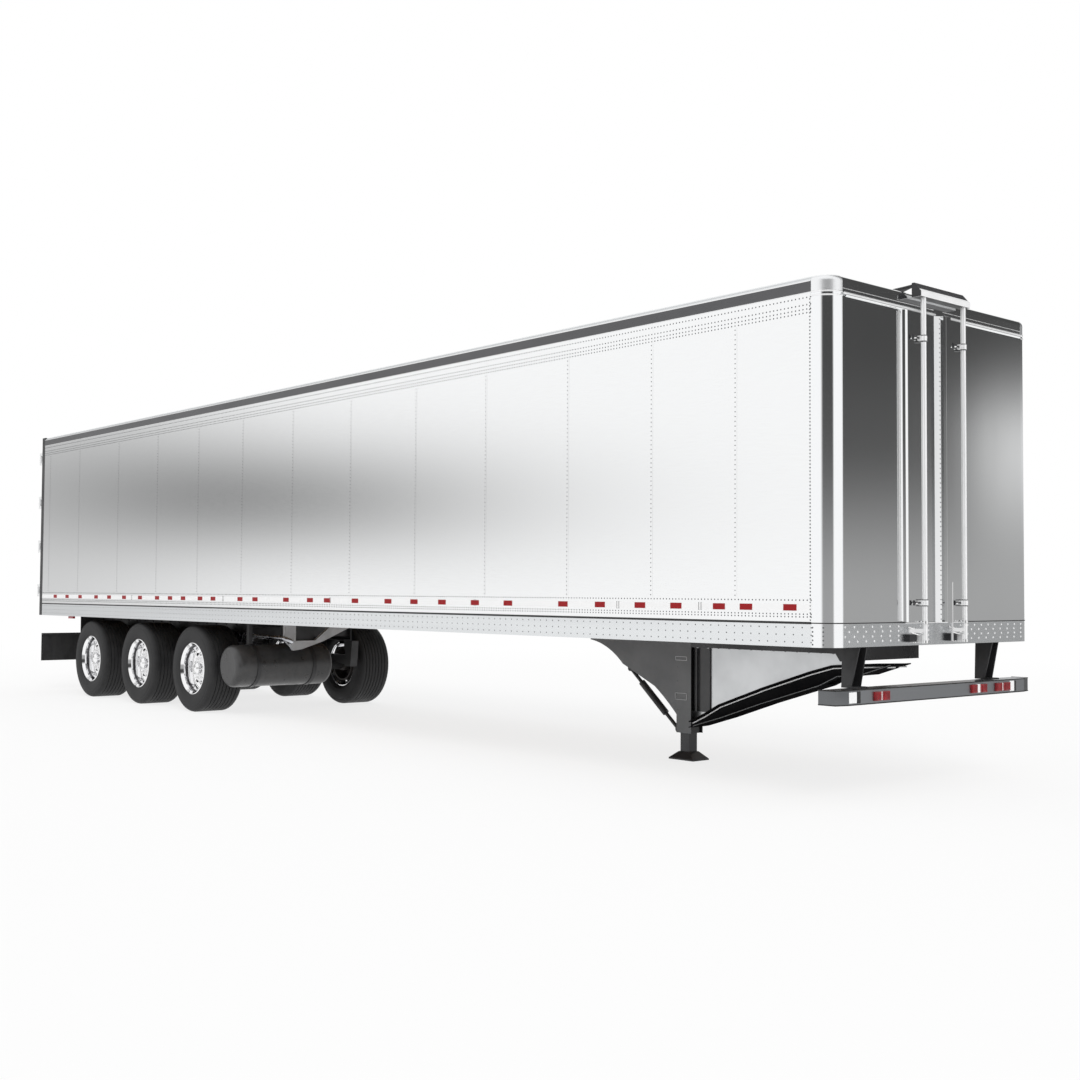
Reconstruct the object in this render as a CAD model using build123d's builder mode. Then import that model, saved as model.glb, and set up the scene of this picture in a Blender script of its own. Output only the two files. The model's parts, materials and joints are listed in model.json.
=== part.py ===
from build123d import *
import os

# Enclosed van semi-trailer on three axles. X points to the nose, Y to the left,
# Z up, with the origin on the ground under the middle of the overall length.
# What belongs to the nose is placed back from it, and the bogie ahead of the rear.

os.makedirs("parts", exist_ok=True)

# ---- body shell -------------------------------------------------------------
body_length = 13860.0
body_width = 2600.0
body_bottom = 1067.0
skirt_height = 160.0
roof_top = 3600.0
rail_height = 112.0
roof_panel = 30.0
wall = 40.0
post_radius = 150.0
nose_reach = 100.0
hinge_offset = 50.0
knuckle_radius = 16.0

overall_length = body_length + nose_reach + hinge_offset + knuckle_radius
nose_x = overall_length / 2 - nose_reach
rear_x = nose_x - body_length
half_y = body_width / 2
rail_bottom = roof_top - rail_height
skirt_top = body_bottom + skirt_height
post_x = nose_x - post_radius
post_y = half_y - post_radius
inner_y = half_y - wall

# ---- floor ------------------------------------------------------------------
rail_web = 14.0
rail_flange = 50.0
rail_flange_thick = 14.0
ledge_thick = 12.0
deck_thick = 34.0
cross_member_depth = 100.0
cross_member_flange = 56.0
cross_member_thick = 8.0
cross_member_pitch = 450.0

web_y = half_y - rail_web
cross_bottom = body_bottom + rail_flange_thick
cross_top = cross_bottom + cross_member_depth
deck_top = cross_top + deck_thick

# ---- rear frame and doors ---------------------------------------------------
rear_depth = 100.0
rear_post_width = 60.0
rear_header_height = 150.0
door_thick = 45.0
door_gap = 8.0
door_seam = 12.0
pin_radius = 7.0
pin_clearance = 0.3
strap_height = 90.0
strap_thick = 12.0
strap_reach = 150.0
lug_height = 40.0
lug_gap = 2.0
hinge_count = 4
hinge_low = 205.0
hinge_high = 150.0
lock_rod_radius = 13.0
lock_rod_offset = 24.0
lock_rod_places = (330.0, 850.0)
lock_clip_count = 4
lock_clip_low = 285.0
lock_clip_high = 250.0
handle_rise = 385.0
handle_length = 300.0
keeper_thick = 6.0

opening_y = half_y - rear_post_width
opening_bottom = deck_top
opening_top = roof_top - rear_header_height
door_edge = opening_y - door_gap
pin_x = rear_x - hinge_offset
pin_y = half_y


def spread(low, high, count):
    """Evenly spaced heights from low to high."""
    return [low + index * (high - low) / (count - 1) for index in range(count)]


hinge_heights = spread(opening_bottom + hinge_low, opening_top - hinge_high, hinge_count)
lock_clip_heights = spread(opening_bottom + lock_clip_low, opening_top - lock_clip_high,
                           lock_clip_count)

# ---- nose -------------------------------------------------------------------
pilaster_right = -500.0
pilaster_left = 220.0
pilaster_proud = 50.0
pilaster_round = 40.0
bead_radius = 20.0
bead_drop = 18.0
bead_gap = 60.0
column_right = -130.0
column_left = 10.0
column_proud = 50.0
column_drop = 50.0
seal_width = 30.0
nose_rod_radius = 19.0
nose_rod_middle = -42.0
nose_rod_spread = 257.0
nose_rod_x = 75.0
nose_rod_rise = 16.0
nose_clip_low = 143.0
nose_clip_high = 228.0
nose_clip_size = 36.0
head_middle = -45.0
head_half_width = 315.0
head_drop = 44.0
head_rise = 62.0
head_band = 36.0
head_back = 20.0
head_arm = 170.0

bead_height = rail_bottom - bead_drop
head_bottom = roof_top - head_drop
column_top = roof_top - column_drop
head_top = roof_top + head_rise
nose_rod_bottom = body_bottom + nose_rod_rise
nose_rod_top = head_bottom
nose_clip_heights = (skirt_top + nose_clip_low, rail_bottom - nose_clip_high)

# ---- front bumper -----------------------------------------------------------
bumper_half_flat = 1127.0
bumper_half_width = 1237.0
bumper_bottom = 680.0
bumper_top = 780.0
bumper_lead = 25.0
bumper_sweep = 30.0
bumper_depth = 170.0
bumper_wall = 8.0
bracket_y = 850.0
bracket_back = 200.0
bracket_top_width = 90.0
bracket_foot_width = 115.0
bracket_top_depth = 150.0
bracket_foot_depth = 83.0
bracket_foot_reach = 140.0
bracket_thick = 10.0
lamp_proud = 14.0
sill_lamp_radius = 48.0
sill_lamp_places = (1150.0, 1030.0)
sill_lamp_rise = 74.0
side_lamp_length = 160.0
side_lamp_lead = 1110.0

# ---- upper coupler ----------------------------------------------------------
leg_setback = 2472.0
leg_tube = 150.0
pan_half_width = 490.0
pan_bottom = 990.0
pan_front = 500.0
pan_back = 2000.0
pan_wall = 10.0
apron_bottom = 935.0
apron_length = 60.0
kingpin_setback = 914.4
kingpin_radius = 25.4
kingpin_neck = 35.0
kingpin_head_radius = 35.7
kingpin_drop = 84.0
pin_window = 75.0

# ---- landing leg ------------------------------------------------------------
leg_wall = 8.0
leg_tube_bottom = 230.0
inner_tube = 100.0
inner_tube_top = 620.0
foot_length = 285.0
foot_width = 200.0
foot_height = 70.0
foot_plate = 12.0
leg_lip = 18.0
gusset_length = 1087.0
gusset_wall = 10.0
strut_top_reach = 632.0
strut_top_height = 750.0
strut_foot_reach = 45.0
strut_foot_height = 250.0
strut_sleeve = 30.0
strut_rod = 16.0
strut_lug = 14.0
brace_spread = 70.0
brace_web = 8.0
brace_flange = 34.0
panel_thick = 16.0
panel_front = 750.0
panel_step = 1000.0
wing_width = 185.0
wing_thick = 14.0
wing_bottom = 420.0
ridge_reach = 36.0
ridge_width = 22.0
ridge_proud = 22.0

# ---- bogie ------------------------------------------------------------------
axle_count = 3
rear_axle_lead = 1670.0
axle_pitch = 1460.0
wheel_radius = 509.0
tyre_width = 445.0
wheel_y = 1027.5
rim_radius = 286.0
rim_half_width = 178.0
rim_wall = 12.0
hub_face = 80.0
bore_radius = 45.3
spindle_radius = 45.0
axle_radius = 70.0
drum_radius = 215.0
drum_width = 170.0
chassis_inner = 610.0
chassis_outer = 710.0
chassis_bottom = 815.0
chassis_front_lead = 5020.0
chassis_rear_lead = 860.0
chassis_web = 12.0
chassis_hole = 22.0
chassis_hole_pitch = 250.0
crossbar_level = 930.0
crossbar_size = 120.0
end_plate_half_width = 1040.0
end_plate_bottom = 640.0
end_plate_thick = 12.0
arm_bottom = 560.0
arm_top = 640.0
hanger_ahead = 500.0
hanger_foot = 120.0
hanger_head = 190.0
spring_behind = 300.0
spring_radius = 125.0
tank_lead = 5410.0
tank_radius = 240.0
tank_height = 570.0
tank_right = -1200.0
tank_left = 60.0
tank_dome = 70.0
strap_width = 46.0
strap_plate = 380.0
strap_places = (-930.0, -205.0)
brace_lead = 5760.0
brace_tip_y = -582.0
brace_tip_height = 748.0
brace_depth = 50.0
valve_lead = 5110.0
valve_length = 350.0
valve_depth = 80.0
valve_low = 840.0
valve_height = 95.0
pipe_radius = 24.0
flap_width = 660.0
flap_bottom = 420.0
flap_top = 780.0
flap_thick = 10.0
flap_bar = 30.0
flap_inset = 100.0
chamber_radius = 82.0
chamber_length = 150.0
chamber_y = 430.0
bow_pitch = 600.0
bow_depth = 26.0
bow_width = 70.0
bow_thick = 3.0

chassis_front_x = rear_x + chassis_front_lead
chassis_rear_x = rear_x + chassis_rear_lead
axle_places = [rear_x + rear_axle_lead + index * axle_pitch
               for index in reversed(range(axle_count))]


# =============================== body shell ==================================

def rim_lines(x):
    """Lines of the rounded top rail, from its foot at height zero up to the roof."""
    rise = roof_top - rail_bottom
    bend = wall * (1 - 0.5 ** 0.5)
    Line((x - wall, 0), (x, 0))
    Line((x, 0), (x, rise - wall))
    ThreePointArc((x, rise - wall), (x - bend, rise - bend), (x - wall, rise))
    Line((x - wall, rise), (x - wall, 0))


skirt_length = post_x - (rear_x + rear_depth)
with BuildPart() as bottom_rails:
    with BuildSketch(Plane(origin=(rear_x + rear_depth, 0, body_bottom), x_dir=(0, 1, 0),
                           z_dir=(1, 0, 0))):
        with BuildLine():
            Polyline((half_y, 0), (half_y, skirt_height), (inner_y, skirt_height),
                     (inner_y, skirt_height - ledge_thick),
                     (web_y, skirt_height - ledge_thick), (web_y, rail_flange_thick),
                     (half_y - rail_flange, rail_flange_thick), (half_y - rail_flange, 0),
                     close=True)
        make_face()
        mirror(about=Plane.YZ)
    extrude(amount=skirt_length)
bottom_rails.part.label = "bottom_rails"
export_step(bottom_rails.part, "parts/bottom_rails.step")

with BuildPart() as cross_members:
    count = int((body_length - 2 * rear_depth - 300) // cross_member_pitch) + 1
    foremost = post_x - cross_member_flange - 4
    with BuildSketch(Plane(origin=(0, -web_y, 0), x_dir=(1, 0, 0), z_dir=(0, 1, 0))):
        for index in range(count):
            middle = foremost - index * cross_member_pitch
            with BuildLine():
                Polyline((middle, -cross_bottom),
                         (middle + cross_member_flange, -cross_bottom),
                         (middle + cross_member_flange, -cross_bottom - cross_member_thick),
                         (middle + cross_member_thick, -cross_bottom - cross_member_thick),
                         (middle + cross_member_thick, -cross_top + cross_member_thick),
                         (middle + cross_member_flange, -cross_top + cross_member_thick),
                         (middle + cross_member_flange, -cross_top),
                         (middle, -cross_top), close=True)
            make_face()
    extrude(amount=2 * web_y)
cross_members.part.label = "cross_members"
export_step(cross_members.part, "parts/cross_members.step")

with BuildPart() as floor_deck:
    with BuildSketch(Plane.XY.offset(cross_top)):
        with BuildLine():
            Polyline((rear_x + rear_depth, -web_y), (post_x, -web_y), (post_x, -post_y),
                     (nose_x - rail_web, -post_y), (nose_x - rail_web, post_y),
                     (post_x, post_y), (post_x, web_y), (rear_x + rear_depth, web_y),
                     close=True)
        make_face()
    extrude(amount=deck_thick)
floor_deck.part.label = "floor_deck"
export_step(floor_deck.part, "parts/floor_deck.step")

with BuildPart() as side_walls:
    with BuildSketch(Plane.XY.offset(skirt_top)):
        with Locations((rear_x + rear_depth, half_y), (rear_x + rear_depth, -inner_y)):
            Rectangle(skirt_length, wall, align=(Align.MIN, Align.MAX))
    extrude(amount=rail_bottom - skirt_top)
side_walls.part.label = "side_walls"
export_step(side_walls.part, "parts/side_walls.step")

with BuildPart() as top_rails:
    with BuildSketch(Plane(origin=(rear_x + rear_depth, 0, rail_bottom), x_dir=(0, 1, 0),
                           z_dir=(1, 0, 0))):
        with BuildLine():
            rim_lines(half_y)
        make_face()
        mirror(about=Plane.YZ)
    extrude(amount=skirt_length)
top_rails.part.label = "top_rails"
export_step(top_rails.part, "parts/top_rails.step")

with BuildPart() as corner_posts:
    with BuildSketch(Plane.XY.offset(body_bottom)):
        with Locations((post_x, post_y)):
            Circle(post_radius)
            Circle(post_radius - wall, mode=Mode.SUBTRACT)
            Rectangle(post_radius, post_radius, align=(Align.MIN, Align.MIN),
                      mode=Mode.INTERSECT)
    extrude(amount=rail_bottom - body_bottom)
    with BuildSketch(Plane(origin=(post_x, post_y, rail_bottom), x_dir=(1, 0, 0),
                           z_dir=(0, -1, 0))):
        with BuildLine():
            rim_lines(post_radius)
        make_face()
    revolve(axis=Axis((post_x, post_y, 0), (0, 0, 1)), revolution_arc=90)
    mirror(about=Plane.XZ)
corner_posts.part.label = "corner_posts"
export_step(corner_posts.part, "parts/corner_posts.step")

with BuildPart() as front_header:
    with BuildSketch(Plane(origin=(0, post_y, rail_bottom), x_dir=(1, 0, 0),
                           z_dir=(0, -1, 0))):
        with BuildLine():
            rim_lines(nose_x)
        make_face()
    extrude(amount=2 * post_y)
front_header.part.label = "front_header"
export_step(front_header.part, "parts/front_header.step")

with BuildPart() as front_wall:
    with BuildSketch(Plane.XY.offset(skirt_top)):
        with Locations((nose_x, 0)):
            Rectangle(wall, 2 * post_y, align=(Align.MAX, Align.CENTER))
    extrude(amount=rail_bottom - skirt_top)
front_wall.part.label = "front_wall"
export_step(front_wall.part, "parts/front_wall.step")

with BuildPart() as front_sill:
    with BuildSketch(Plane(origin=(0, post_y, body_bottom), x_dir=(1, 0, 0),
                           z_dir=(0, -1, 0))):
        with BuildLine():
            Polyline((nose_x, 0), (nose_x, skirt_height), (nose_x - wall, skirt_height),
                     (nose_x - wall, skirt_height - ledge_thick),
                     (nose_x - rail_web, skirt_height - ledge_thick),
                     (nose_x - rail_web, rail_flange_thick),
                     (nose_x - rail_flange, rail_flange_thick), (nose_x - rail_flange, 0),
                     close=True)
        make_face()
    extrude(amount=2 * post_y)
front_sill.part.label = "front_sill"
export_step(front_sill.part, "parts/front_sill.step")

with BuildPart() as roof:
    with BuildSketch(Plane.XY.offset(roof_top - roof_panel)):
        with Locations((rear_x + rear_depth, 0)):
            Rectangle(nose_x - wall - (rear_x + rear_depth), 2 * inner_y,
                      align=(Align.MIN, Align.CENTER))
    extrude(amount=roof_panel)
    fillet(roof.edges().filter_by(Axis.Z).group_by(Axis.X)[-1], post_radius - wall)
roof.part.label = "roof"
export_step(roof.part, "parts/roof.step")

with BuildPart() as roof_bows:
    bow_top = roof_top - roof_panel
    bow_count = int((body_length - rear_depth - wall - bow_pitch) // bow_pitch) + 1
    with BuildSketch(Plane(origin=(0, inner_y, 0), x_dir=(1, 0, 0), z_dir=(0, -1, 0))):
        for index in range(bow_count):
            middle = nose_x - bow_pitch / 2 - index * bow_pitch
            with BuildLine():
                Polyline((middle - bow_width / 2, bow_top), (middle + bow_width / 2, bow_top),
                         (middle + bow_width / 2, bow_top - bow_thick),
                         (middle + bow_width / 3, bow_top - bow_thick),
                         (middle + bow_width / 5, bow_top - bow_depth),
                         (middle - bow_width / 5, bow_top - bow_depth),
                         (middle - bow_width / 3, bow_top - bow_thick),
                         (middle - bow_width / 2, bow_top - bow_thick), close=True)
            make_face()
    extrude(amount=2 * inner_y)
roof_bows.part.label = "roof_bows"
export_step(roof_bows.part, "parts/roof_bows.step")

# ============================ rear frame and doors ===========================

with BuildPart() as rear_posts:
    with BuildSketch(Plane.XY.offset(body_bottom)):
        with Locations((rear_x, half_y - rear_post_width / 2),
                       (rear_x, rear_post_width / 2 - half_y)):
            Rectangle(rear_depth, rear_post_width, align=(Align.MIN, Align.CENTER))
    extrude(amount=roof_top - body_bottom)
rear_posts.part.label = "rear_posts"
export_step(rear_posts.part, "parts/rear_posts.step")

with BuildPart() as rear_crossbars:
    for low, high in ((body_bottom, opening_bottom), (opening_top, roof_top)):
        with BuildSketch(Plane.XY.offset(low)):
            with Locations((rear_x, 0)):
                Rectangle(rear_depth, 2 * opening_y, align=(Align.MIN, Align.CENTER))
        extrude(amount=high - low)
rear_crossbars.part.label = "rear_crossbars"
export_step(rear_crossbars.part, "parts/rear_crossbars.step")

with BuildPart() as door_fittings:
    for height in hinge_heights:
        for start in (height - strap_height / 2 - lug_gap - lug_height,
                      height + strap_height / 2 + lug_gap):
            with BuildSketch(Plane.XY.offset(start)):
                with BuildLine():
                    Polyline((rear_x, pin_y), (rear_x, pin_y - 36),
                             (pin_x - 4, pin_y - knuckle_radius + 2),
                             (pin_x, pin_y), (pin_x + 4, pin_y), close=True)
                make_face()
                with Locations((pin_x, pin_y)):
                    Circle(knuckle_radius)
                mirror(about=Plane.XZ)
            extrude(amount=lug_height)
        with BuildSketch(Plane.XY.offset(height - strap_height / 2 - lug_gap - lug_height)):
            with Locations((pin_x, pin_y), (pin_x, -pin_y)):
                Circle(pin_radius)
        extrude(amount=strap_height + 2 * lug_gap + lug_height)
    for place in lock_rod_places:
        for side in (1, -1):
            for low, high in ((opening_bottom - 80, opening_bottom - 4),
                              (opening_top + 4, opening_top + 80)):
                with BuildSketch(Plane.XY.offset(low)):
                    with Locations((rear_x, side * place)):
                        Rectangle(keeper_thick, 130, align=(Align.MAX, Align.CENTER))
                extrude(amount=high - low)
door_fittings.part.label = "door_fittings"
export_step(door_fittings.part, "parts/door_fittings.step")

for name, side in (("left", 1), ("right", -1)):
    with BuildPart() as door:
        with BuildSketch(Plane.XY.offset(opening_bottom + door_gap)):
            with Locations((rear_x, side * (door_edge + door_seam / 2) / 2)):
                Rectangle(door_thick, door_edge - door_seam / 2,
                          align=(Align.MIN, Align.CENTER))
        extrude(amount=opening_top - opening_bottom - 2 * door_gap)
        for height in hinge_heights:
            with BuildSketch(Plane.XY.offset(height - strap_height / 2)):
                with BuildLine():
                    Polyline((rear_x, side * (door_edge - strap_reach)),
                             (rear_x - strap_thick, side * (door_edge - strap_reach)),
                             (rear_x - strap_thick, side * (door_edge - 18)),
                             (pin_x - 10, side * (pin_y - 12)),
                             (pin_x, side * pin_y),
                             (pin_x + 12, side * (pin_y - 8)),
                             (rear_x - 5, side * (door_edge + 0)),
                             (rear_x, side * (door_edge - 6)), close=True)
                make_face()
                with Locations((pin_x, side * pin_y)):
                    Circle(knuckle_radius)
                    Circle(pin_radius + pin_clearance, mode=Mode.SUBTRACT)
            extrude(amount=strap_height)
    door.part.label = f"door_{name}"
    export_step(door.part, f"parts/door_{name}.step")

    rod_bottom = opening_bottom - 30
    rod_top = opening_top + 30
    with BuildPart() as lock_rods:
        for place in lock_rod_places:
            rod_y = side * place
            with BuildSketch(Plane.XY.offset(rod_bottom)):
                with Locations((rear_x - lock_rod_offset, rod_y)):
                    Circle(lock_rod_radius)
            extrude(amount=rod_top - rod_bottom)
            for height in lock_clip_heights:
                with BuildSketch(Plane.XY.offset(height - 30)):
                    with Locations((rear_x, rod_y)):
                        Rectangle(lock_rod_offset + lock_rod_radius + 3, 60,
                                  align=(Align.MAX, Align.CENTER))
                extrude(amount=60)
            for start in (rod_bottom, rod_top - 40):
                with BuildSketch(Plane.XY.offset(start)):
                    with Locations((rear_x - keeper_thick - 6, rod_y - side * 20)):
                        Rectangle(28, 70, align=(Align.MAX, Align.CENTER))
                extrude(amount=40)
            with BuildSketch(Plane.XY.offset(opening_bottom + handle_rise)):
                with Locations((rear_x - 14, rod_y + side * 140)):
                    Rectangle(14, handle_length, align=(Align.MAX, Align.CENTER))
            extrude(amount=36)
            with BuildSketch(Plane.XY.offset(opening_bottom + handle_rise - 10)):
                with Locations((rear_x, rod_y + side * 270)):
                    Rectangle(30, 40, align=(Align.MAX, Align.CENTER))
            extrude(amount=56)
    lock_rods.part.label = f"lock_rods_{name}"
    export_step(lock_rods.part, f"parts/lock_rods_{name}.step")

# =================================== nose ====================================

nose_low = skirt_top
bead_low = bead_height - bead_radius
with BuildPart() as nose_pilaster:
    with BuildSketch(Plane.XY.offset(nose_low)):
        with BuildLine():
            Line((nose_x, pilaster_left), (nose_x + pilaster_proud, pilaster_left))
            Line((nose_x + pilaster_proud, pilaster_left),
                 (nose_x + pilaster_proud, pilaster_right + pilaster_round))
            RadiusArc((nose_x + pilaster_proud, pilaster_right + pilaster_round),
                      (nose_x + pilaster_proud - pilaster_round, pilaster_right),
                      pilaster_round, short_sagitta=True)
            Line((nose_x + pilaster_proud - pilaster_round, pilaster_right),
                 (nose_x, pilaster_right))
            Line((nose_x, pilaster_right), (nose_x, pilaster_left))
        make_face()
    extrude(amount=bead_low - nose_low)
    column_x = nose_x + pilaster_proud
    with BuildSketch(Plane.XY.offset(nose_low)):
        with BuildLine():
            Polyline((column_x, column_right), (column_x + column_proud, column_right + 80),
                     (column_x + column_proud, column_left), (column_x, column_left),
                     close=True)
        make_face()
    extrude(amount=bead_low - nose_low)
nose_pilaster.part.label = "nose_pilaster"
export_step(nose_pilaster.part, "parts/nose_pilaster.step")

with BuildPart() as nose_beads:
    for start, end in ((-post_y + 20, -bead_gap), (bead_gap, post_y - 20)):
        with BuildSketch(Plane(origin=(nose_x, start, bead_height), x_dir=(1, 0, 0),
                               z_dir=(0, 1, 0))):
            Circle(bead_radius)
            Rectangle(bead_radius, 2 * bead_radius, align=(Align.MIN, Align.CENTER),
                      mode=Mode.INTERSECT)
        extrude(amount=end - start)
nose_beads.part.label = "nose_beads"
export_step(nose_beads.part, "parts/nose_beads.step")

with BuildPart() as nose_rods:
    for rod_y in (nose_rod_middle + nose_rod_spread, nose_rod_middle - nose_rod_spread):
        with BuildSketch(Plane.XY.offset(nose_rod_bottom)):
            with Locations((nose_x + nose_rod_x, rod_y)):
                Circle(nose_rod_radius)
        extrude(amount=nose_rod_top - nose_rod_bottom)
        for height in nose_clip_heights:
            with BuildSketch(Plane.XY.offset(height - nose_clip_size / 2)):
                with Locations((nose_x + pilaster_proud, rod_y)):
                    Rectangle(nose_rod_x - pilaster_proud, 2.4 * nose_clip_size,
                              align=(Align.MIN, Align.CENTER))
                with Locations((nose_x + nose_rod_x, rod_y)):
                    Circle(nose_rod_radius + 6)
                with Locations((nose_x, rod_y)):
                    Rectangle(pilaster_proud, 10 * nose_clip_size, mode=Mode.SUBTRACT,
                              align=(Align.MIN, Align.CENTER))
            extrude(amount=nose_clip_size)
        with BuildSketch(Plane.XY.offset(nose_rod_bottom)):
            with Locations((nose_x, rod_y)):
                Rectangle(nose_rod_x, 70, align=(Align.MIN, Align.CENTER))
        extrude(amount=60)
        with BuildSketch(Plane.XY.offset(nose_rod_bottom + 78)):
            with Locations((nose_x + nose_rod_x - 8, rod_y)):
                Rectangle(14, 190, align=(Align.MIN, Align.MAX))
        extrude(amount=26)
nose_rods.part.label = "nose_rods"
export_step(nose_rods.part, "parts/nose_rods.step")

with BuildPart() as nose_head:
    with BuildSketch(Plane(origin=(0, head_middle + head_half_width, 0), x_dir=(1, 0, 0),
                           z_dir=(0, -1, 0))):
        with BuildLine():
            Polyline((nose_x + head_back, head_bottom), (nose_x + nose_reach, head_bottom),
                     (nose_x + nose_reach, head_bottom + head_band),
                     (nose_x + head_back + 20, head_top), (nose_x + head_back, head_top),
                     close=True)
        make_face()
    extrude(amount=2 * head_half_width)
    for side in (1, -1):
        with BuildSketch(Plane(origin=(0, head_middle + side * (head_half_width - 20) + 10, 0),
                               x_dir=(1, 0, 0), z_dir=(0, -1, 0))):
            with BuildLine():
                Polyline((nose_x + head_back, head_top - 24), (nose_x + head_back, head_top - 8),
                         (nose_x - head_arm, head_top - 20), (nose_x - head_arm, roof_top),
                         (nose_x - head_arm + 40, roof_top), close=True)
            make_face()
        extrude(amount=20)
nose_head.part.label = "nose_head"
export_step(nose_head.part, "parts/nose_head.step")

# =============================== front bumper ================================

face_x = nose_x + bumper_lead
back_x = face_x - bumper_depth
with BuildPart() as bumper:
    with BuildSketch(Plane.XY.offset(bumper_bottom)):
        with BuildLine():
            Polyline((face_x, -bumper_half_flat), (face_x, bumper_half_flat),
                     (face_x - bumper_sweep, bumper_half_width),
                     (back_x, bumper_half_width), (back_x, -bumper_half_width),
                     (face_x - bumper_sweep, -bumper_half_width), close=True)
        make_face()
    extrude(amount=bumper_top - bumper_bottom)
    with BuildSketch(Plane.XY.offset(bumper_bottom + bumper_wall)):
        with BuildLine():
            inset = face_x - bumper_wall
            Polyline((inset, -bumper_half_flat), (inset, bumper_half_flat),
                     (inset - bumper_sweep, bumper_half_width - bumper_wall),
                     (back_x, bumper_half_width - bumper_wall),
                     (back_x, bumper_wall - bumper_half_width),
                     (inset - bumper_sweep, bumper_wall - bumper_half_width), close=True)
        make_face()
    extrude(amount=bumper_top - bumper_bottom - 2 * bumper_wall, mode=Mode.SUBTRACT)
bumper.part.label = "bumper"
export_step(bumper.part, "parts/bumper.step")

bracket_x = nose_x - bracket_back
with BuildPart() as bumper_brackets:
    for side in (1, -1):
        with BuildSketch(Plane(origin=(bracket_x, side * bracket_y, 0), x_dir=(0, 1, 0),
                               z_dir=(1, 0, 0))):
            with BuildLine():
                Polyline((-bracket_foot_width / 2, bumper_top),
                         (bracket_foot_width / 2, bumper_top),
                         (bracket_top_width / 2, cross_bottom),
                         (-bracket_top_width / 2, cross_bottom), close=True)
            make_face()
        extrude(amount=bracket_thick)
        for edge in (1, -1):
            foot_y = side * bracket_y + edge * (bracket_foot_width - bracket_thick) / 2
            top_y = side * bracket_y + edge * (bracket_top_width - bracket_thick) / 2
            with BuildSketch(Plane.XY.offset(bumper_top)):
                with Locations((bracket_x, foot_y)):
                    Rectangle(bracket_foot_depth, bracket_thick,
                              align=(Align.MIN, Align.CENTER))
            with BuildSketch(Plane.XY.offset(cross_bottom)):
                with Locations((bracket_x, top_y)):
                    Rectangle(bracket_top_depth, bracket_thick,
                              align=(Align.MIN, Align.CENTER))
            loft()
        with BuildSketch(Plane.XY.offset(bumper_top)):
            with Locations((bracket_x, side * bracket_y)):
                Rectangle(bracket_foot_reach, bracket_foot_width,
                          align=(Align.MIN, Align.CENTER))
        extrude(amount=bracket_thick)
bumper_brackets.part.label = "bumper_brackets"
export_step(bumper_brackets.part, "parts/bumper_brackets.step")

# middle in Y, width, height of each red lamp
red_lamps = ((-808, 72, 62), (-708, 74, 62), (406, 76, 62), (538, 76, 62),
             (748, 84, 62), (863, 84, 62))
lamp_height = (bumper_bottom + bumper_top) / 2
with BuildPart() as lamps:
    with BuildSketch(Plane(origin=(face_x, 0, lamp_height), x_dir=(0, 1, 0),
                           z_dir=(1, 0, 0))):
        for middle, width, height in red_lamps:
            with Locations((middle, 0)):
                Rectangle(width, height)
    extrude(amount=lamp_proud)
    with BuildSketch(Plane(origin=(rear_x, 0, body_bottom + sill_lamp_rise), x_dir=(0, 1, 0),
                           z_dir=(1, 0, 0))):
        for side in (1, -1):
            with Locations(*[(side * place, 0) for place in sill_lamp_places]):
                Circle(sill_lamp_radius)
    extrude(amount=-lamp_proud)
    with BuildSketch(Plane.XY.offset(body_bottom)):
        with Locations((rear_x + side_lamp_lead, half_y - 24),
                       (rear_x + side_lamp_lead, 24 - half_y)):
            Rectangle(side_lamp_length, 30)
    extrude(amount=-32)
lamps.part.label = "lamps"
export_step(lamps.part, "parts/lamps.step")

# ============================== upper coupler ================================

with BuildPart() as coupler:
    with BuildSketch(Plane.XY.offset(pan_bottom)):
        with Locations((nose_x - pan_front, 0)):
            Rectangle(pan_back - pan_front, 2 * pan_half_width,
                      align=(Align.MAX, Align.CENTER))
    extrude(amount=cross_bottom - pan_bottom)
    with BuildSketch(Plane.XY.offset(pan_bottom + pan_wall)):
        with Locations((nose_x - pan_front - pan_wall, 0)):
            Rectangle(pan_back - pan_front - 2 * pan_wall, 2 * (pan_half_width - pan_wall),
                      align=(Align.MAX, Align.CENTER))
    extrude(amount=cross_bottom - pan_bottom - pan_wall, mode=Mode.SUBTRACT)
    with BuildSketch(Plane(origin=(0, pan_half_width, 0), x_dir=(1, 0, 0),
                           z_dir=(0, -1, 0))):
        with BuildLine():
            Polyline((nose_x - pan_front, pan_bottom), (nose_x - pan_front, apron_bottom),
                     (nose_x - pan_front - apron_length / 3, apron_bottom),
                     (nose_x - pan_front - apron_length, pan_bottom), close=True)
        make_face()
    extrude(amount=2 * pan_half_width)
coupler.part.label = "coupler"
export_step(coupler.part, "parts/coupler.step")

pin_axis = Axis((nose_x - kingpin_setback, 0, 0), (0, 0, 1))
with BuildPart() as kingpin:
    with BuildSketch(Plane(origin=(nose_x - kingpin_setback, 0, pan_bottom),
                           x_dir=(1, 0, 0), z_dir=(0, 1, 0))):
        with BuildLine():
            neck_start = 30.0
            Polyline((0, 0), (kingpin_head_radius + 1, 0),
                     (kingpin_head_radius + 1, neck_start), (kingpin_radius, neck_start),
                     (kingpin_radius, neck_start + kingpin_neck),
                     (kingpin_head_radius, neck_start + kingpin_neck),
                     (kingpin_head_radius, kingpin_drop - 5),
                     (kingpin_head_radius - 5, kingpin_drop), (0, kingpin_drop), close=True)
        make_face()
    revolve(axis=pin_axis)
kingpin.part.label = "kingpin"
export_step(kingpin.part, "parts/kingpin.step")

# ================================ landing leg ================================

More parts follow.
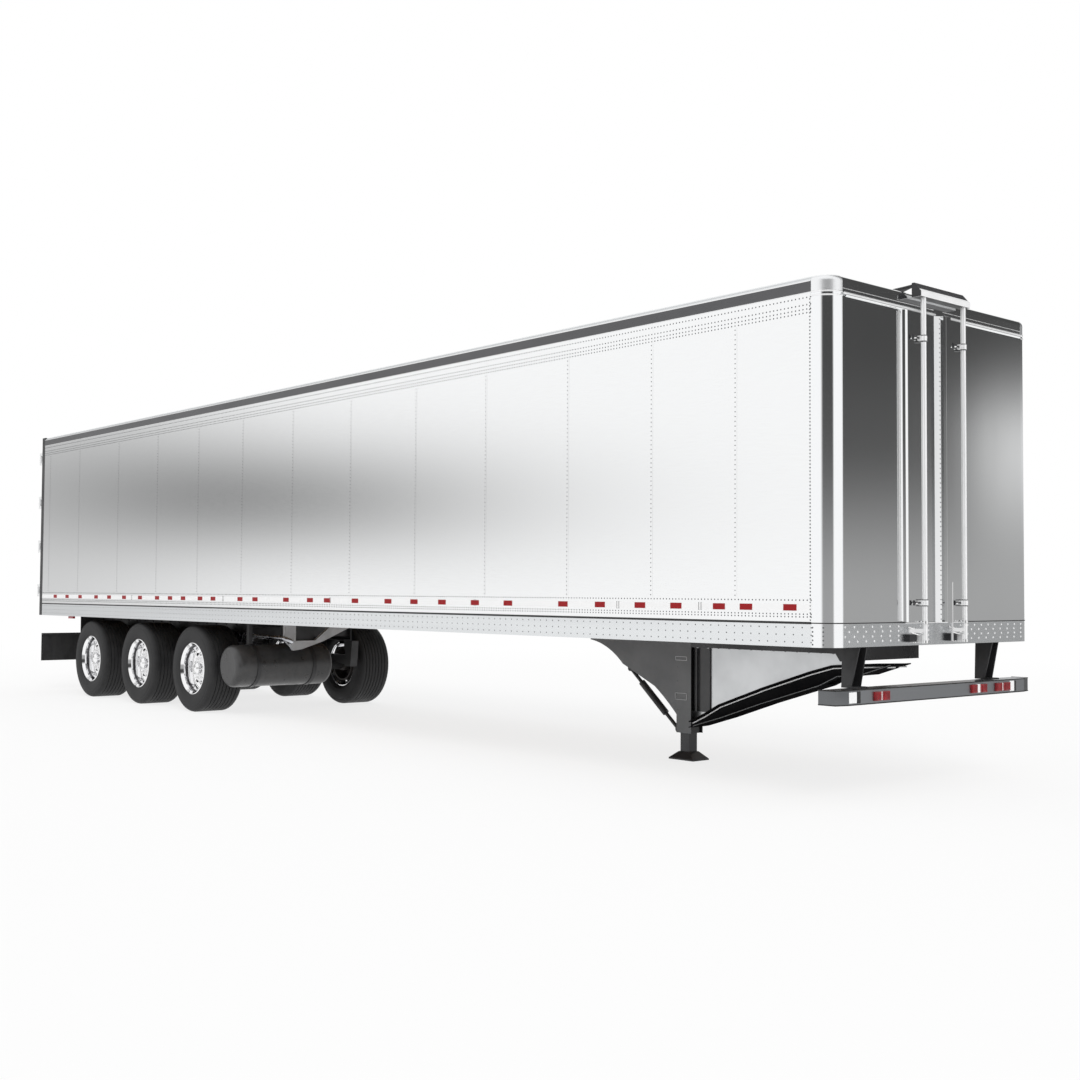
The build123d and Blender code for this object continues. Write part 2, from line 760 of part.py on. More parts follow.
leg_x = nose_x - leg_setback
with BuildPart() as leg_outer:
    with BuildSketch(Plane.XY.offset(leg_tube_bottom)):
        with Locations((leg_x, 0)):
            Rectangle(leg_tube, leg_tube)
            Rectangle(leg_tube - 2 * leg_wall, leg_tube - 2 * leg_wall, mode=Mode.SUBTRACT)
        for side in (1, -1):
            with Locations((leg_x + leg_tube / 2, side * (leg_tube - leg_wall) / 2)):
                Rectangle(leg_lip, leg_wall, align=(Align.MIN, Align.CENTER))
    extrude(amount=cross_bottom - leg_tube_bottom)
    for side in (1, -1):
        with BuildSketch(Plane.XY.offset(wing_bottom)):
            with Locations((leg_x + leg_tube / 2, side * (panel_thick + wing_thick) / 2)):
                Rectangle(wing_width, wing_thick, align=(Align.MIN, Align.CENTER))
            with Locations((leg_x + leg_tube / 2 + ridge_reach,
                            side * (panel_thick / 2 + wing_thick))):
                Rectangle(ridge_width, ridge_proud,
                          align=(Align.MIN, Align.MIN if side > 0 else Align.MAX))
        extrude(amount=cross_bottom - wing_bottom)
leg_outer.part.label = "leg_outer"
export_step(leg_outer.part, "parts/leg_outer.step")

with BuildPart() as leg_inner:
    with BuildSketch(Plane.XY.offset(foot_height)):
        with Locations((leg_x, 0)):
            Rectangle(inner_tube, inner_tube)
    extrude(amount=inner_tube_top - foot_height)
    with BuildSketch(Plane.XY.offset(leg_tube_bottom)):
        with Locations((leg_x, 0)):
            Rectangle(leg_tube - 2 * leg_wall, leg_tube - 2 * leg_wall)
    extrude(amount=30)
    with BuildSketch(Plane.XY):
        with Locations((leg_x, 0)):
            Rectangle(foot_length, foot_width)
    extrude(amount=foot_plate)
    with BuildSketch(Plane.XY.offset(foot_plate)):
        with Locations((leg_x, 0)):
            Rectangle(foot_length, foot_width)
    with BuildSketch(Plane.XY.offset(foot_height)):
        with Locations((leg_x, 0)):
            Rectangle(inner_tube + 20, inner_tube + 20)
    loft()
leg_inner.part.label = "leg_inner"
export_step(leg_inner.part, "parts/leg_inner.step")

toe_x = leg_x - leg_tube / 2
tip_x = toe_x - gusset_length
# places along the gusset's lower edge, as reach from the leg's back face and height
gusset_edge = ((gusset_length, 998), (896, 946), (664, 793), (469, 707), (263, 613),
               (119, 498), (0, 385))
with BuildPart() as leg_gusset:
    for inset in (0, gusset_wall):
        edge = [(toe_x - reach, height + inset) for reach, height in gusset_edge]
        half = leg_tube / 2 - inset
        with BuildSketch(Plane(origin=(0, half, 0), x_dir=(1, 0, 0), z_dir=(0, -1, 0))):
            with BuildLine():
                ThreePointArc(edge[0], edge[1], edge[2])
                Line(edge[2], edge[4])
                ThreePointArc(edge[4], edge[5], edge[6])
                Polyline(edge[6], (toe_x, cross_bottom), (tip_x, cross_bottom), edge[0])
            make_face()
        extrude(amount=2 * half, mode=Mode.SUBTRACT if inset else Mode.ADD)
leg_gusset.part.label = "leg_gusset"
export_step(leg_gusset.part, "parts/leg_gusset.step")



def seat(reach):
    """Height of the straight part of the gusset's lower edge at a reach from the leg."""
    (far, high), (near, low) = gusset_edge[2], gusset_edge[4]
    return low + (reach - near) * (high - low) / (far - near)


upper_eye = Vector(toe_x - strut_top_reach, 0, strut_top_height)
lower_eye = Vector(toe_x - strut_foot_reach, 0, strut_foot_height)
slope = (lower_eye - upper_eye).normalized()
eye_reach = (lower_eye - upper_eye).length
with BuildPart() as leg_strut:
    with BuildSketch(Plane(origin=upper_eye, z_dir=slope)):
        Circle(strut_rod)
    extrude(amount=eye_reach)
    with BuildSketch(Plane(origin=upper_eye + slope * 0.24 * eye_reach, z_dir=slope)):
        Circle(strut_sleeve)
    extrude(amount=0.5 * eye_reach)
    with BuildSketch(Plane.XZ.offset(-strut_lug)):
        with Locations((upper_eye.X, upper_eye.Z)):
            Circle(26)
        with BuildLine():
            Polyline((upper_eye.X - 26, upper_eye.Z), (upper_eye.X + 26, upper_eye.Z),
                     (upper_eye.X + 26, seat(strut_top_reach - 26)),
                     (upper_eye.X - 26, seat(strut_top_reach + 26)), close=True)
        make_face()
        with Locations((lower_eye.X, lower_eye.Z)):
            Circle(26)
            Rectangle(strut_foot_reach, 52, align=(Align.MIN, Align.CENTER))
    extrude(amount=2 * strut_lug)
leg_strut.part.label = "leg_strut"
export_step(leg_strut.part, "parts/leg_strut.step")

# X from the nose and Z along the beam's upper and lower edges
beam_top = ((2379, 339), (2217, 412), (2045, 503), (1573, 671), (1115, 818), (1000, 850),
            (889, 880), (600, 900), (312, 914))
beam_low = ((312, 908), (600, 816), (835, 788), (1000, 710), (1245, 635), (1573, 535),
            (2012, 388), (2325, 295), (2379, 284))
with BuildPart() as brace_beam:
    for side in (1, -1):
        low = min(side * brace_spread, side * (brace_spread - brace_web))
        with BuildSketch(Plane(origin=(0, low + brace_web, 0), x_dir=(1, 0, 0),
                               z_dir=(0, -1, 0))):
            with BuildLine():
                Polyline(*[(nose_x - x, z) for x, z in beam_top + beam_low], close=True)
            make_face()
        extrude(amount=brace_web)
    for edge, lift in ((beam_top, -brace_web), (beam_low, brace_web)):
        with BuildSketch(Plane(origin=(0, brace_spread + brace_flange, 0), x_dir=(1, 0, 0),
                               z_dir=(0, -1, 0))):
            with BuildLine():
                Polyline(*[(nose_x - x, z) for x, z in edge],
                         *[(nose_x - x, z + lift) for x, z in reversed(edge)], close=True)
            make_face()
        extrude(amount=2 * (brace_spread + brace_flange))
    # window between the webs that leaves the kingpin free from below
    with Locations((nose_x - kingpin_setback, 0, pan_bottom)):
        Box(2 * pin_window, 2 * (brace_spread - brace_web), pan_bottom - beam_low[-5][1],
            align=(Align.CENTER, Align.CENTER, Align.MAX), mode=Mode.SUBTRACT)
brace_beam.part.label = "brace_beam"
export_step(brace_beam.part, "parts/brace_beam.step")

leg_front = leg_setback - leg_tube / 2
hull_foot = [(nose_x - x, z) for x, z in beam_top if x >= panel_step]
knee = 0.5 * (beam_top[-3][1] + beam_top[-2][1])
with BuildPart() as brace_panels:
    with BuildSketch(Plane(origin=(0, panel_thick / 2, 0), x_dir=(1, 0, 0),
                           z_dir=(0, -1, 0))):
        with BuildLine():
            Polyline((nose_x - leg_front, beam_top[0][1]), *hull_foot,
                     (nose_x - panel_step, pan_bottom), (nose_x - pan_back, pan_bottom),
                     (nose_x - pan_back - 1, cross_bottom), (nose_x - leg_front, cross_bottom),
                     close=True)
        make_face()
    extrude(amount=panel_thick)
    for low in (brace_spread - brace_web, -brace_spread):
        with BuildSketch(Plane(origin=(0, low + brace_web, 0), x_dir=(1, 0, 0),
                               z_dir=(0, -1, 0))):
            with BuildLine():
                Polyline(hull_foot[-1], (nose_x - beam_top[-3][0], beam_top[-3][1]),
                         (nose_x - panel_front, knee), (nose_x - panel_front, pan_bottom),
                         (nose_x - panel_step, pan_bottom), close=True)
            make_face()
        extrude(amount=brace_web)
    step_foot = hull_foot[-1][1] + 0.4 * brace_web
    with BuildSketch(Plane.YZ.offset(nose_x - panel_step)):
        with Locations((0, step_foot)):
            Rectangle(2 * brace_spread, pan_bottom - step_foot,
                      align=(Align.CENTER, Align.MIN))
    extrude(amount=brace_web)
brace_panels.part.label = "brace_panels"
export_step(brace_panels.part, "parts/brace_panels.step")

# =================================== bogie ===================================

with BuildPart() as bogie_rails:
    with BuildSketch(Plane(origin=(chassis_rear_x, 0, 0), x_dir=(0, 1, 0),
                           z_dir=(1, 0, 0))):
        with BuildLine():
            Polyline((chassis_outer, chassis_bottom), (chassis_outer, cross_bottom),
                     (chassis_inner, cross_bottom), (chassis_inner, cross_bottom - chassis_web),
                     (chassis_outer - chassis_web, cross_bottom - chassis_web),
                     (chassis_outer - chassis_web, chassis_bottom + chassis_web),
                     (chassis_inner, chassis_bottom + chassis_web),
                     (chassis_inner, chassis_bottom), close=True)
        make_face()
        mirror(about=Plane.YZ)
    extrude(amount=chassis_front_x - chassis_rear_x)
    span = chassis_front_x - chassis_rear_x
    with BuildSketch(Plane.XZ.offset(-chassis_outer)):
        with Locations(((chassis_front_x + chassis_rear_x) / 2, cross_bottom - 50)):
            with GridLocations(chassis_hole_pitch, 1, int(span / chassis_hole_pitch) - 1, 1):
                Circle(chassis_hole)
    extrude(amount=2 * chassis_outer, mode=Mode.SUBTRACT)
bogie_rails.part.label = "bogie_rails"
export_step(bogie_rails.part, "parts/bogie_rails.step")

tube_places = [chassis_front_x - 120] + [x + axle_pitch / 2 for x in axle_places[1:]]
box_x = rear_x + brace_lead
with BuildPart() as bogie_crossbars:
    for place in tube_places:
        with BuildSketch(Plane.XZ.offset(chassis_outer - chassis_web)):
            with Locations((place, crossbar_level)):
                Rectangle(crossbar_size, crossbar_size)
        extrude(amount=-2 * (chassis_outer - chassis_web))
    with BuildSketch(Plane(origin=(chassis_rear_x, 0, 0), x_dir=(0, 1, 0),
                           z_dir=(1, 0, 0))):
        with Locations((0, end_plate_bottom)):
            Rectangle(2 * end_plate_half_width, cross_bottom - end_plate_bottom,
                      align=(Align.CENTER, Align.MIN))
    extrude(amount=-end_plate_thick)
    with BuildSketch(Plane.XY.offset(brace_tip_height + 95)):
        with Locations((box_x, brace_tip_y)):
            Rectangle(260, 300, align=(Align.MAX, Align.MIN))
    extrude(amount=cross_bottom - brace_tip_height - 95)
bogie_crossbars.part.label = "bogie_crossbars"
export_step(bogie_crossbars.part, "parts/bogie_crossbars.step")

with BuildPart() as axles:
    for axle_x in axle_places:
        with BuildSketch(Plane.XZ.offset(-(wheel_y - drum_width - 30))):
            with Locations((axle_x, wheel_radius)):
                Circle(axle_radius)
        extrude(amount=2 * (wheel_y - drum_width - 30))
        with BuildSketch(Plane.XZ.offset(-(wheel_y + hub_face - 10))):
            with Locations((axle_x, wheel_radius)):
                Circle(spindle_radius)
        extrude(amount=2 * (wheel_y + hub_face - 10))
        for side in (1, -1):
            middle = (axle_x, side * chamber_y, wheel_radius + 30)
            with BuildSketch(Plane(origin=middle, x_dir=(-1, 0, 0), z_dir=(0, 1, 0))):
                with BuildLine():
                    Polyline((60, 0), (60, 42), (95, 42), (95, chamber_radius - 8),
                             (150, chamber_radius - 8), (150, chamber_radius),
                             (162, chamber_radius), (162, chamber_radius - 8),
                             (60 + chamber_length - 15, chamber_radius - 14),
                             (60 + chamber_length, chamber_radius - 34),
                             (60 + chamber_length, 0), close=True)
                make_face()
            revolve(axis=Axis(middle, (1, 0, 0)))
axles.part.label = "axles"
export_step(axles.part, "parts/axles.step")

with BuildPart() as suspension_arms:
    for axle_x in axle_places:
        pivot_x = axle_x + hanger_ahead
        for side in (1, -1):
            with BuildSketch(Plane.XZ.offset(-max(side * chassis_outer, side * chassis_inner))):
                with BuildLine():
                    Polyline((pivot_x - hanger_foot / 2, arm_bottom - 60),
                             (pivot_x + hanger_foot / 2, arm_bottom - 60),
                             (pivot_x + hanger_foot / 2 + 10, arm_bottom),
                             (pivot_x + hanger_head / 2, chassis_bottom),
                             (pivot_x - hanger_head / 2, chassis_bottom),
                             (pivot_x - hanger_foot / 2, arm_top + 40), close=True)
                make_face()
            extrude(amount=chassis_outer - chassis_inner)
    for axle_x in axle_places:
        front = axle_x + hanger_ahead - hanger_foot / 2
        for side in (1, -1):
            with BuildSketch(Plane.XZ.offset(-max(side * chassis_outer, side * chassis_inner))):
                with BuildLine():
                    Polyline((front, arm_bottom - 40), (front, arm_top),
                             (axle_x - spring_behind - 110, arm_top),
                             (axle_x - spring_behind - 110, arm_top - 30),
                             (axle_x - 120, arm_bottom), (axle_x + 120, arm_bottom),
                             close=True)
                make_face()
                with Locations((axle_x, wheel_radius)):
                    Circle(axle_radius + 0.3, mode=Mode.SUBTRACT)
            extrude(amount=chassis_outer - chassis_inner)
suspension_arms.part.label = "suspension_arms"
export_step(suspension_arms.part, "parts/suspension_arms.step")

middle_y = (chassis_inner + chassis_outer) / 2
spring_height = chassis_bottom - arm_top
with BuildPart() as air_springs:
    for axle_x in axle_places:
        spring_x = axle_x - spring_behind
        for side in (1, -1):
            with BuildSketch(Plane(origin=(spring_x, side * middle_y, arm_top),
                                   x_dir=(1, 0, 0), z_dir=(0, -1, 0))):
                with BuildLine():
                    Polyline((0, 0), (0.62 * spring_radius, 0),
                             (0.72 * spring_radius, 0.25 * spring_height),
                             (spring_radius, 0.45 * spring_height),
                             (spring_radius, 0.85 * spring_height),
                             (0.8 * spring_radius, spring_height), (0, spring_height),
                             close=True)
                make_face()
            revolve(axis=Axis((spring_x, side * middle_y, 0), (0, 0, 1)))
air_springs.part.label = "air_springs"
export_step(air_springs.part, "parts/air_springs.step")

tank_x = rear_x + tank_lead
with BuildPart() as air_tank:
    with BuildSketch(Plane.XZ.offset(-tank_left)):
        with Locations((tank_x, tank_height)):
            Circle(tank_radius)
    extrude(amount=tank_left - tank_right)
    fillet(air_tank.edges().filter_by(GeomType.CIRCLE), tank_dome)
air_tank.part.label = "air_tank"
export_step(air_tank.part, "parts/air_tank.step")

with BuildPart() as tank_straps:
    for place in strap_places:
        with BuildSketch(Plane.XZ.offset(-(place + strap_width / 2))):
            with Locations((tank_x, tank_height)):
                Circle(tank_radius + 8)
                Circle(tank_radius + 0.3, mode=Mode.SUBTRACT)
        extrude(amount=strap_width)
        with BuildSketch(Plane.XY.offset(tank_height + tank_radius + 6)):
            with Locations((tank_x, place)):
                Rectangle(60, strap_width)
        extrude(amount=cross_bottom - tank_height - tank_radius - 6)
        with BuildSketch(Plane.XY.offset(cross_bottom)):
            with Locations((tank_x, place)):
                Rectangle(strap_plate, strap_width)
        extrude(amount=-12)
tank_straps.part.label = "tank_straps"
export_step(tank_straps.part, "parts/tank_straps.step")

# places across and up from the brace's low tip, along its lower and its upper edge
brace_lower = ((-118, 122), (-34, 42), (0, 0), (109, 14), (390, 100), (695, 230))
brace_upper = ((477, 261), (283, 111), (22, 111))
with BuildPart() as cross_brace:
    with BuildSketch(Plane(origin=(box_x, 0, 0), x_dir=(0, 1, 0), z_dir=(1, 0, 0))):
        with BuildLine():
            Polyline((brace_tip_y + brace_lower[0][0], cross_bottom),
                     *[(brace_tip_y + y, brace_tip_height + z) for y, z in brace_lower],
                     (brace_tip_y + brace_lower[-1][0] + 240, cross_bottom),
                     (brace_tip_y + brace_upper[0][0] + 93, cross_bottom),
                     *[(brace_tip_y + y, brace_tip_height + z) for y, z in brace_upper],
                     (brace_tip_y + brace_upper[-1][0], cross_bottom), close=True)
        make_face()
    extrude(amount=brace_depth)
cross_brace.part.label = "cross_brace"
export_step(cross_brace.part, "parts/cross_brace.step")

valve_x = rear_x + valve_lead
brace_face = box_x + brace_depth
pipe_y = -(chassis_outer + pipe_radius + 20)
pipe_end_y = brace_tip_y - 68
with BuildPart() as air_valve:
    with BuildSketch(Plane.XY.offset(valve_low)):
        with Locations((valve_x, -chassis_outer)):
            Rectangle(valve_length, valve_depth, align=(Align.MAX, Align.MAX))
    extrude(amount=valve_height)
    with BuildLine() as pipe_route:
        FilletPolyline((valve_x, pipe_y, valve_low + 60), (brace_face + 90, pipe_y, valve_low + 50),
                       (brace_face + 90, pipe_end_y, brace_tip_height + 102),
                       (brace_face, pipe_end_y, brace_tip_height + 102), radius=40)
    with BuildSketch(Plane(origin=(valve_x, pipe_y, valve_low + 60), z_dir=pipe_route.line % 0)):
        Circle(pipe_radius)
    sweep(path=pipe_route.line)
air_valve.part.label = "air_valve"
export_step(air_valve.part, "parts/air_valve.step")

flap_x = rear_x + flap_inset
with BuildPart() as flap_arms:
    with BuildSketch(Plane.XY.offset(flap_top)):
        with Locations((flap_x, 0)):
            Rectangle(flap_bar, body_width, align=(Align.MIN, Align.CENTER))
        with Locations((flap_x, middle_y), (flap_x, -middle_y)):
            Rectangle(chassis_rear_x - end_plate_thick - flap_x, 60,
                      align=(Align.MIN, Align.CENTER))
    extrude(amount=flap_bar)
flap_arms.part.label = "flap_arms"
export_step(flap_arms.part, "parts/flap_arms.step")

with BuildPart() as mud_flaps:
    with BuildSketch(Plane.XY.offset(flap_bottom)):
        with Locations((flap_x, half_y - flap_width / 2), (flap_x, flap_width / 2 - half_y)):
            Rectangle(flap_thick, flap_width, align=(Align.MIN, Align.CENTER))
    extrude(amount=flap_top - flap_bottom)
mud_flaps.part.label = "mud_flaps"
export_step(mud_flaps.part, "parts/mud_flaps.step")

# =================================== wheels ==================================

for number, axle_x in enumerate(axle_places, 1):
    for name, side in (("left", 1), ("right", -1)):
        centre = (axle_x, side * wheel_y, wheel_radius)
        section = Plane(origin=centre, x_dir=(0, 0, 1), z_dir=(-side, 0, 0))
        spin = Axis(centre, (0, side, 0))
        half_tyre = tyre_width / 2
        with BuildPart() as tyre:
            with BuildSketch(section):
                with BuildLine():
                    for sign in (1, -1):
                        Line((rim_radius + 0.3, sign * (rim_half_width - 4)),
                             (rim_radius + 18, sign * (half_tyre - 26)))
                        Line((rim_radius + 18, sign * (half_tyre - 26)),
                             (rim_radius + 60, sign * (half_tyre - 5)))
                        Line((rim_radius + 60, sign * (half_tyre - 5)),
                             (rim_radius + 110, sign * half_tyre))
                        Line((rim_radius + 110, sign * half_tyre),
                             (wheel_radius - 40, sign * (half_tyre - 6)))
                        Line((wheel_radius - 40, sign * (half_tyre - 6)),
                             (wheel_radius - 12, sign * (half_tyre - 22)))
                        Line((wheel_radius - 12, sign * (half_tyre - 22)),
                             (wheel_radius, sign * (half_tyre - 44)))
                    Line((wheel_radius, half_tyre - 44), (wheel_radius, 44 - half_tyre))
                    Line((rim_radius + 0.3, rim_half_width - 4),
                         (rim_radius + 0.3, 4 - rim_half_width))
                make_face()
            revolve(axis=spin)
        tyre.part.label = f"tyre_{name}_{number}"
        export_step(tyre.part, f"parts/tyre_{name}_{number}.step")

        inside = rim_radius - rim_wall
        with BuildPart() as rim:
            with BuildSketch(section):
                with BuildLine():
                    Polyline((rim_radius, -rim_half_width), (rim_radius, rim_half_width),
                             (rim_radius + 18, rim_half_width + 22),
                             (rim_radius + 8, rim_half_width + 26),
                             (inside, rim_half_width - 8), (inside - 18, 70),
                             (inside - 60, 50), (150, hub_face + 24), (84, hub_face + 24),
                             (84, hub_face), (150, hub_face), (inside - 60, 26),
                             (inside - 18, 20), (inside - 18, -rim_half_width + 30),
                             (inside, -rim_half_width), close=True)
                make_face()
            revolve(axis=spin)
            with BuildSketch(Plane(origin=centre, x_dir=(1, 0, 0), z_dir=(0, side, 0))):
                with PolarLocations(200, 8):
                    Circle(34)
            extrude(amount=rim_half_width, mode=Mode.SUBTRACT)
            with BuildSketch(section):
                with BuildLine():
                    Polyline((bore_radius, -drum_width - 4), (bore_radius, hub_face - 6),
                             (0, hub_face - 6), (0, hub_face + 96), (40, hub_face + 90),
                             (66, hub_face + 66), (72, hub_face + 24), (82, hub_face + 24),
                             (82, hub_face - 2), (160, hub_face - 2), (160, hub_face - 22),
                             (96, hub_face - 40), (96, -6), (drum_radius, -6),
                             (drum_radius, -drum_width), (drum_radius - 18, -drum_width),
                             (drum_radius - 18, -26), (90, -26), (90, -drum_width - 4),
                             close=True)
                make_face()
            revolve(axis=spin)
        rim.part.label = f"wheel_{name}_{number}"
        export_step(rim.part, f"parts/wheel_{name}_{number}.step")
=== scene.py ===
import bpy
import bmesh
import json
import math
from mathutils import Matrix, Vector


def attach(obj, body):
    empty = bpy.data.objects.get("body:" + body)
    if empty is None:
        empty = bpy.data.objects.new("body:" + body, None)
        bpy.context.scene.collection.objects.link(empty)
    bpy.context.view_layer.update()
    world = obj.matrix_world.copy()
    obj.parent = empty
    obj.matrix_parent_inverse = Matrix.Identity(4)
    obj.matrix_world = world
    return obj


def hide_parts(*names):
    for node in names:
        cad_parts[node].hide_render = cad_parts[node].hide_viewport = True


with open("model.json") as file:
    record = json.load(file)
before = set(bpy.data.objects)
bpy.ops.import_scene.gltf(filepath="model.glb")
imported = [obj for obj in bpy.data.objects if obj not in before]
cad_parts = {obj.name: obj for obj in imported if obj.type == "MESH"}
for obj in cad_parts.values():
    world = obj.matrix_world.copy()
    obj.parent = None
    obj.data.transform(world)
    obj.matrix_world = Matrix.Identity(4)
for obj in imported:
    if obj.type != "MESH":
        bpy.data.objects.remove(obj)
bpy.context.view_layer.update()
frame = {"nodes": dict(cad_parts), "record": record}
nodes = frame["nodes"]
scene = bpy.context.scene
scene.view_settings.view_transform = "Standard"
print("frame loaded,", len(nodes), "nodes")

# the body's own planes, in metres
body = {"nose": 6.913, "tail": -6.947, "side": 1.3, "roof": 3.6, "postRadius": 0.15}
bothSides = (("left", 1), ("right", -1))

cameraSetup = {"lens": 45.52, "sensor": 36.0, "place": (12.5215, -8.7395, 1.4263),
               "heading": 138.9915, "rise": 2.2089, "roll": 0.3387, "clipEnd": 500}


def placeCamera(setup):
    heading, rise, roll = (math.radians(setup[key]) for key in ("heading", "rise", "roll"))
    ahead = Vector((math.cos(rise) * math.cos(heading), math.cos(rise) * math.sin(heading),
                    math.sin(rise)))
    level = Vector((math.sin(heading), -math.cos(heading), 0))
    upright = level.cross(ahead)
    right = level * math.cos(roll) + upright * math.sin(roll)
    up = upright * math.cos(roll) - level * math.sin(roll)
    data = bpy.data.cameras.new("studioCamera")
    data.lens = setup["lens"]
    data.sensor_width = setup["sensor"]
    data.clip_end = setup["clipEnd"]
    camera = bpy.data.objects.new("studioCamera", data)
    turn = Matrix((right, up, -ahead)).transposed().to_4x4()
    camera.matrix_world = Matrix.Translation(setup["place"]) @ turn
    scene.collection.objects.link(camera)
    scene.camera = camera


placeCamera(cameraSetup)


def addNode(tree, kind, inputs=None, **settings):
    node = tree.nodes.new(kind)
    for key, value in settings.items():
        setattr(node, key, value)
    for key, value in (inputs or {}).items():
        if isinstance(value, bpy.types.NodeSocket):
            tree.links.new(value, node.inputs[key])
        else:
            node.inputs[key].default_value = value
    return node


def calc(tree, operation, first, second=0.0):
    return addNode(tree, "ShaderNodeMath", {0: first, 1: second}, operation=operation).outputs[0]


def times(tree, product, *factors):
    for factor in factors:
        product = calc(tree, "MULTIPLY", product, factor)
    return product


def ramp(tree, value, fromLow, fromHigh, toLow=0.0, toHigh=1.0, soft=True):
    return addNode(tree, "ShaderNodeMapRange",
                   {"Value": value, "From Min": fromLow, "From Max": fromHigh,
                    "To Min": toLow, "To Max": toHigh},
                   interpolation_type="SMOOTHSTEP" if soft else "LINEAR").outputs[0]


def mixColors(tree, factor, first, second):
    node = tree.nodes.new("ShaderNodeMix")
    node.data_type = "RGBA"
    for index, value in ((0, factor), (6, first), (7, second)):
        if isinstance(value, bpy.types.NodeSocket):
            tree.links.new(value, node.inputs[index])
        else:
            node.inputs[index].default_value = value if index == 0 else (*value, 1)
    return node.outputs[2]


def mixValues(tree, factor, first, second):
    return addNode(tree, "ShaderNodeMix", {0: factor, 2: first, 3: second}).outputs[0]


def splitVector(tree, vector):
    return addNode(tree, "ShaderNodeSeparateXYZ", {0: vector}).outputs


# angles in degrees: turn from the nose to the left, lift above the horizon
studio = {"ambient": 0.8,
          "blob": {"azimuth": -151.5, "behind": 9.0, "ahead": 12.3, "height": 3.85, "tall": 2.4,
                   "depth": 0.72},
          "wall": (-161.0, -147.0, 0.66, 1.0),
          "dim": {"right": (-76, -62), "left": (110, 94), "rightTop": (28, 16),
                  "leftTop": (84, 56), "foot": (-20, -10), "low": (-0.5, 6.5, 0.37, 0.088),
                  "high": (6, 10.5, 1, 0.7), "stripRight": (-14, -4), "stripLeft": (50, 43)},
          "glow": {"edge": (57.2, 60.2), "height": 6.0, "above": 2.3, "below": 3.3,
                   "strength": 0.6}}


def hump(tree, value, middle, below, above):
    # a soft rise round one value, with its own width on each side
    away = calc(tree, "SUBTRACT", value, middle)
    width = mixValues(tree, calc(tree, "GREATER_THAN", away, 0.0), below, above)
    part = calc(tree, "DIVIDE", away, width)
    return calc(tree, "EXPONENT", times(tree, part, part, -1.0))


def buildWorld(setup):
    world = bpy.data.worlds.new("studioWorld")
    world.use_nodes = True
    tree = world.node_tree
    tree.nodes.clear()
    heading = splitVector(tree, addNode(tree, "ShaderNodeTexCoord").outputs["Generated"])
    turn = calc(tree, "DEGREES", calc(tree, "ARCTAN2", heading[1], heading[0]))
    lift = calc(tree, "DEGREES", calc(tree, "ARCSINE", heading[2]))
    # a soft grey patch beside the trailer, on a wall that dims towards the rear
    blob, dim, glow = setup["blob"], setup["dim"], setup["glow"]
    patch = times(tree, hump(tree, turn, blob["azimuth"], blob["behind"], blob["ahead"]),
                  hump(tree, lift, blob["height"], blob["tall"], blob["tall"]), blob["depth"])
    wallLevel = ramp(tree, turn, *setup["wall"])
    # the dim end of the studio ahead of the nose, with one bright strip in it
    overhead = mixValues(tree, calc(tree, "GREATER_THAN", turn, 0.0),
                         ramp(tree, lift, *dim["rightTop"]), ramp(tree, lift, *dim["leftTop"]))
    strip = times(tree, ramp(tree, turn, *dim["stripRight"]), ramp(tree, turn, *dim["stripLeft"]))
    share = times(tree, ramp(tree, turn, *dim["right"]), ramp(tree, turn, *dim["left"]), overhead,
                  ramp(tree, lift, *dim["foot"]), calc(tree, "SUBTRACT", 1.0, strip))
    dimLevel = times(tree, ramp(tree, lift, *dim["low"]), ramp(tree, lift, *dim["high"]))
    rise = times(tree, ramp(tree, turn, *glow["edge"]),
                 hump(tree, lift, glow["height"], glow["below"], glow["above"]), glow["strength"])
    level = mixValues(tree, share, wallLevel, calc(tree, "ADD", dimLevel, rise))
    level = times(tree, level, calc(tree, "SUBTRACT", 1.0, patch))
    path = addNode(tree, "ShaderNodeLightPath").outputs
    gloss = calc(tree, "MAXIMUM", path["Is Glossy Ray"], path["Is Transmission Ray"])
    seen = mixValues(tree, gloss, setup["ambient"], level)
    seen = mixValues(tree, path["Is Camera Ray"], seen, 1.0)
    light = addNode(tree, "ShaderNodeBackground", {"Color": (1, 1, 1, 1), "Strength": seen})
    addNode(tree, "ShaderNodeOutputWorld", {"Surface": light.outputs[0]})
    scene.world = world


floorSetup = {"size": 60.0, "sides": 96, "color": (0.93, 0.93, 0.93, 1), "fade": (8, 22, 0.78, 1)}


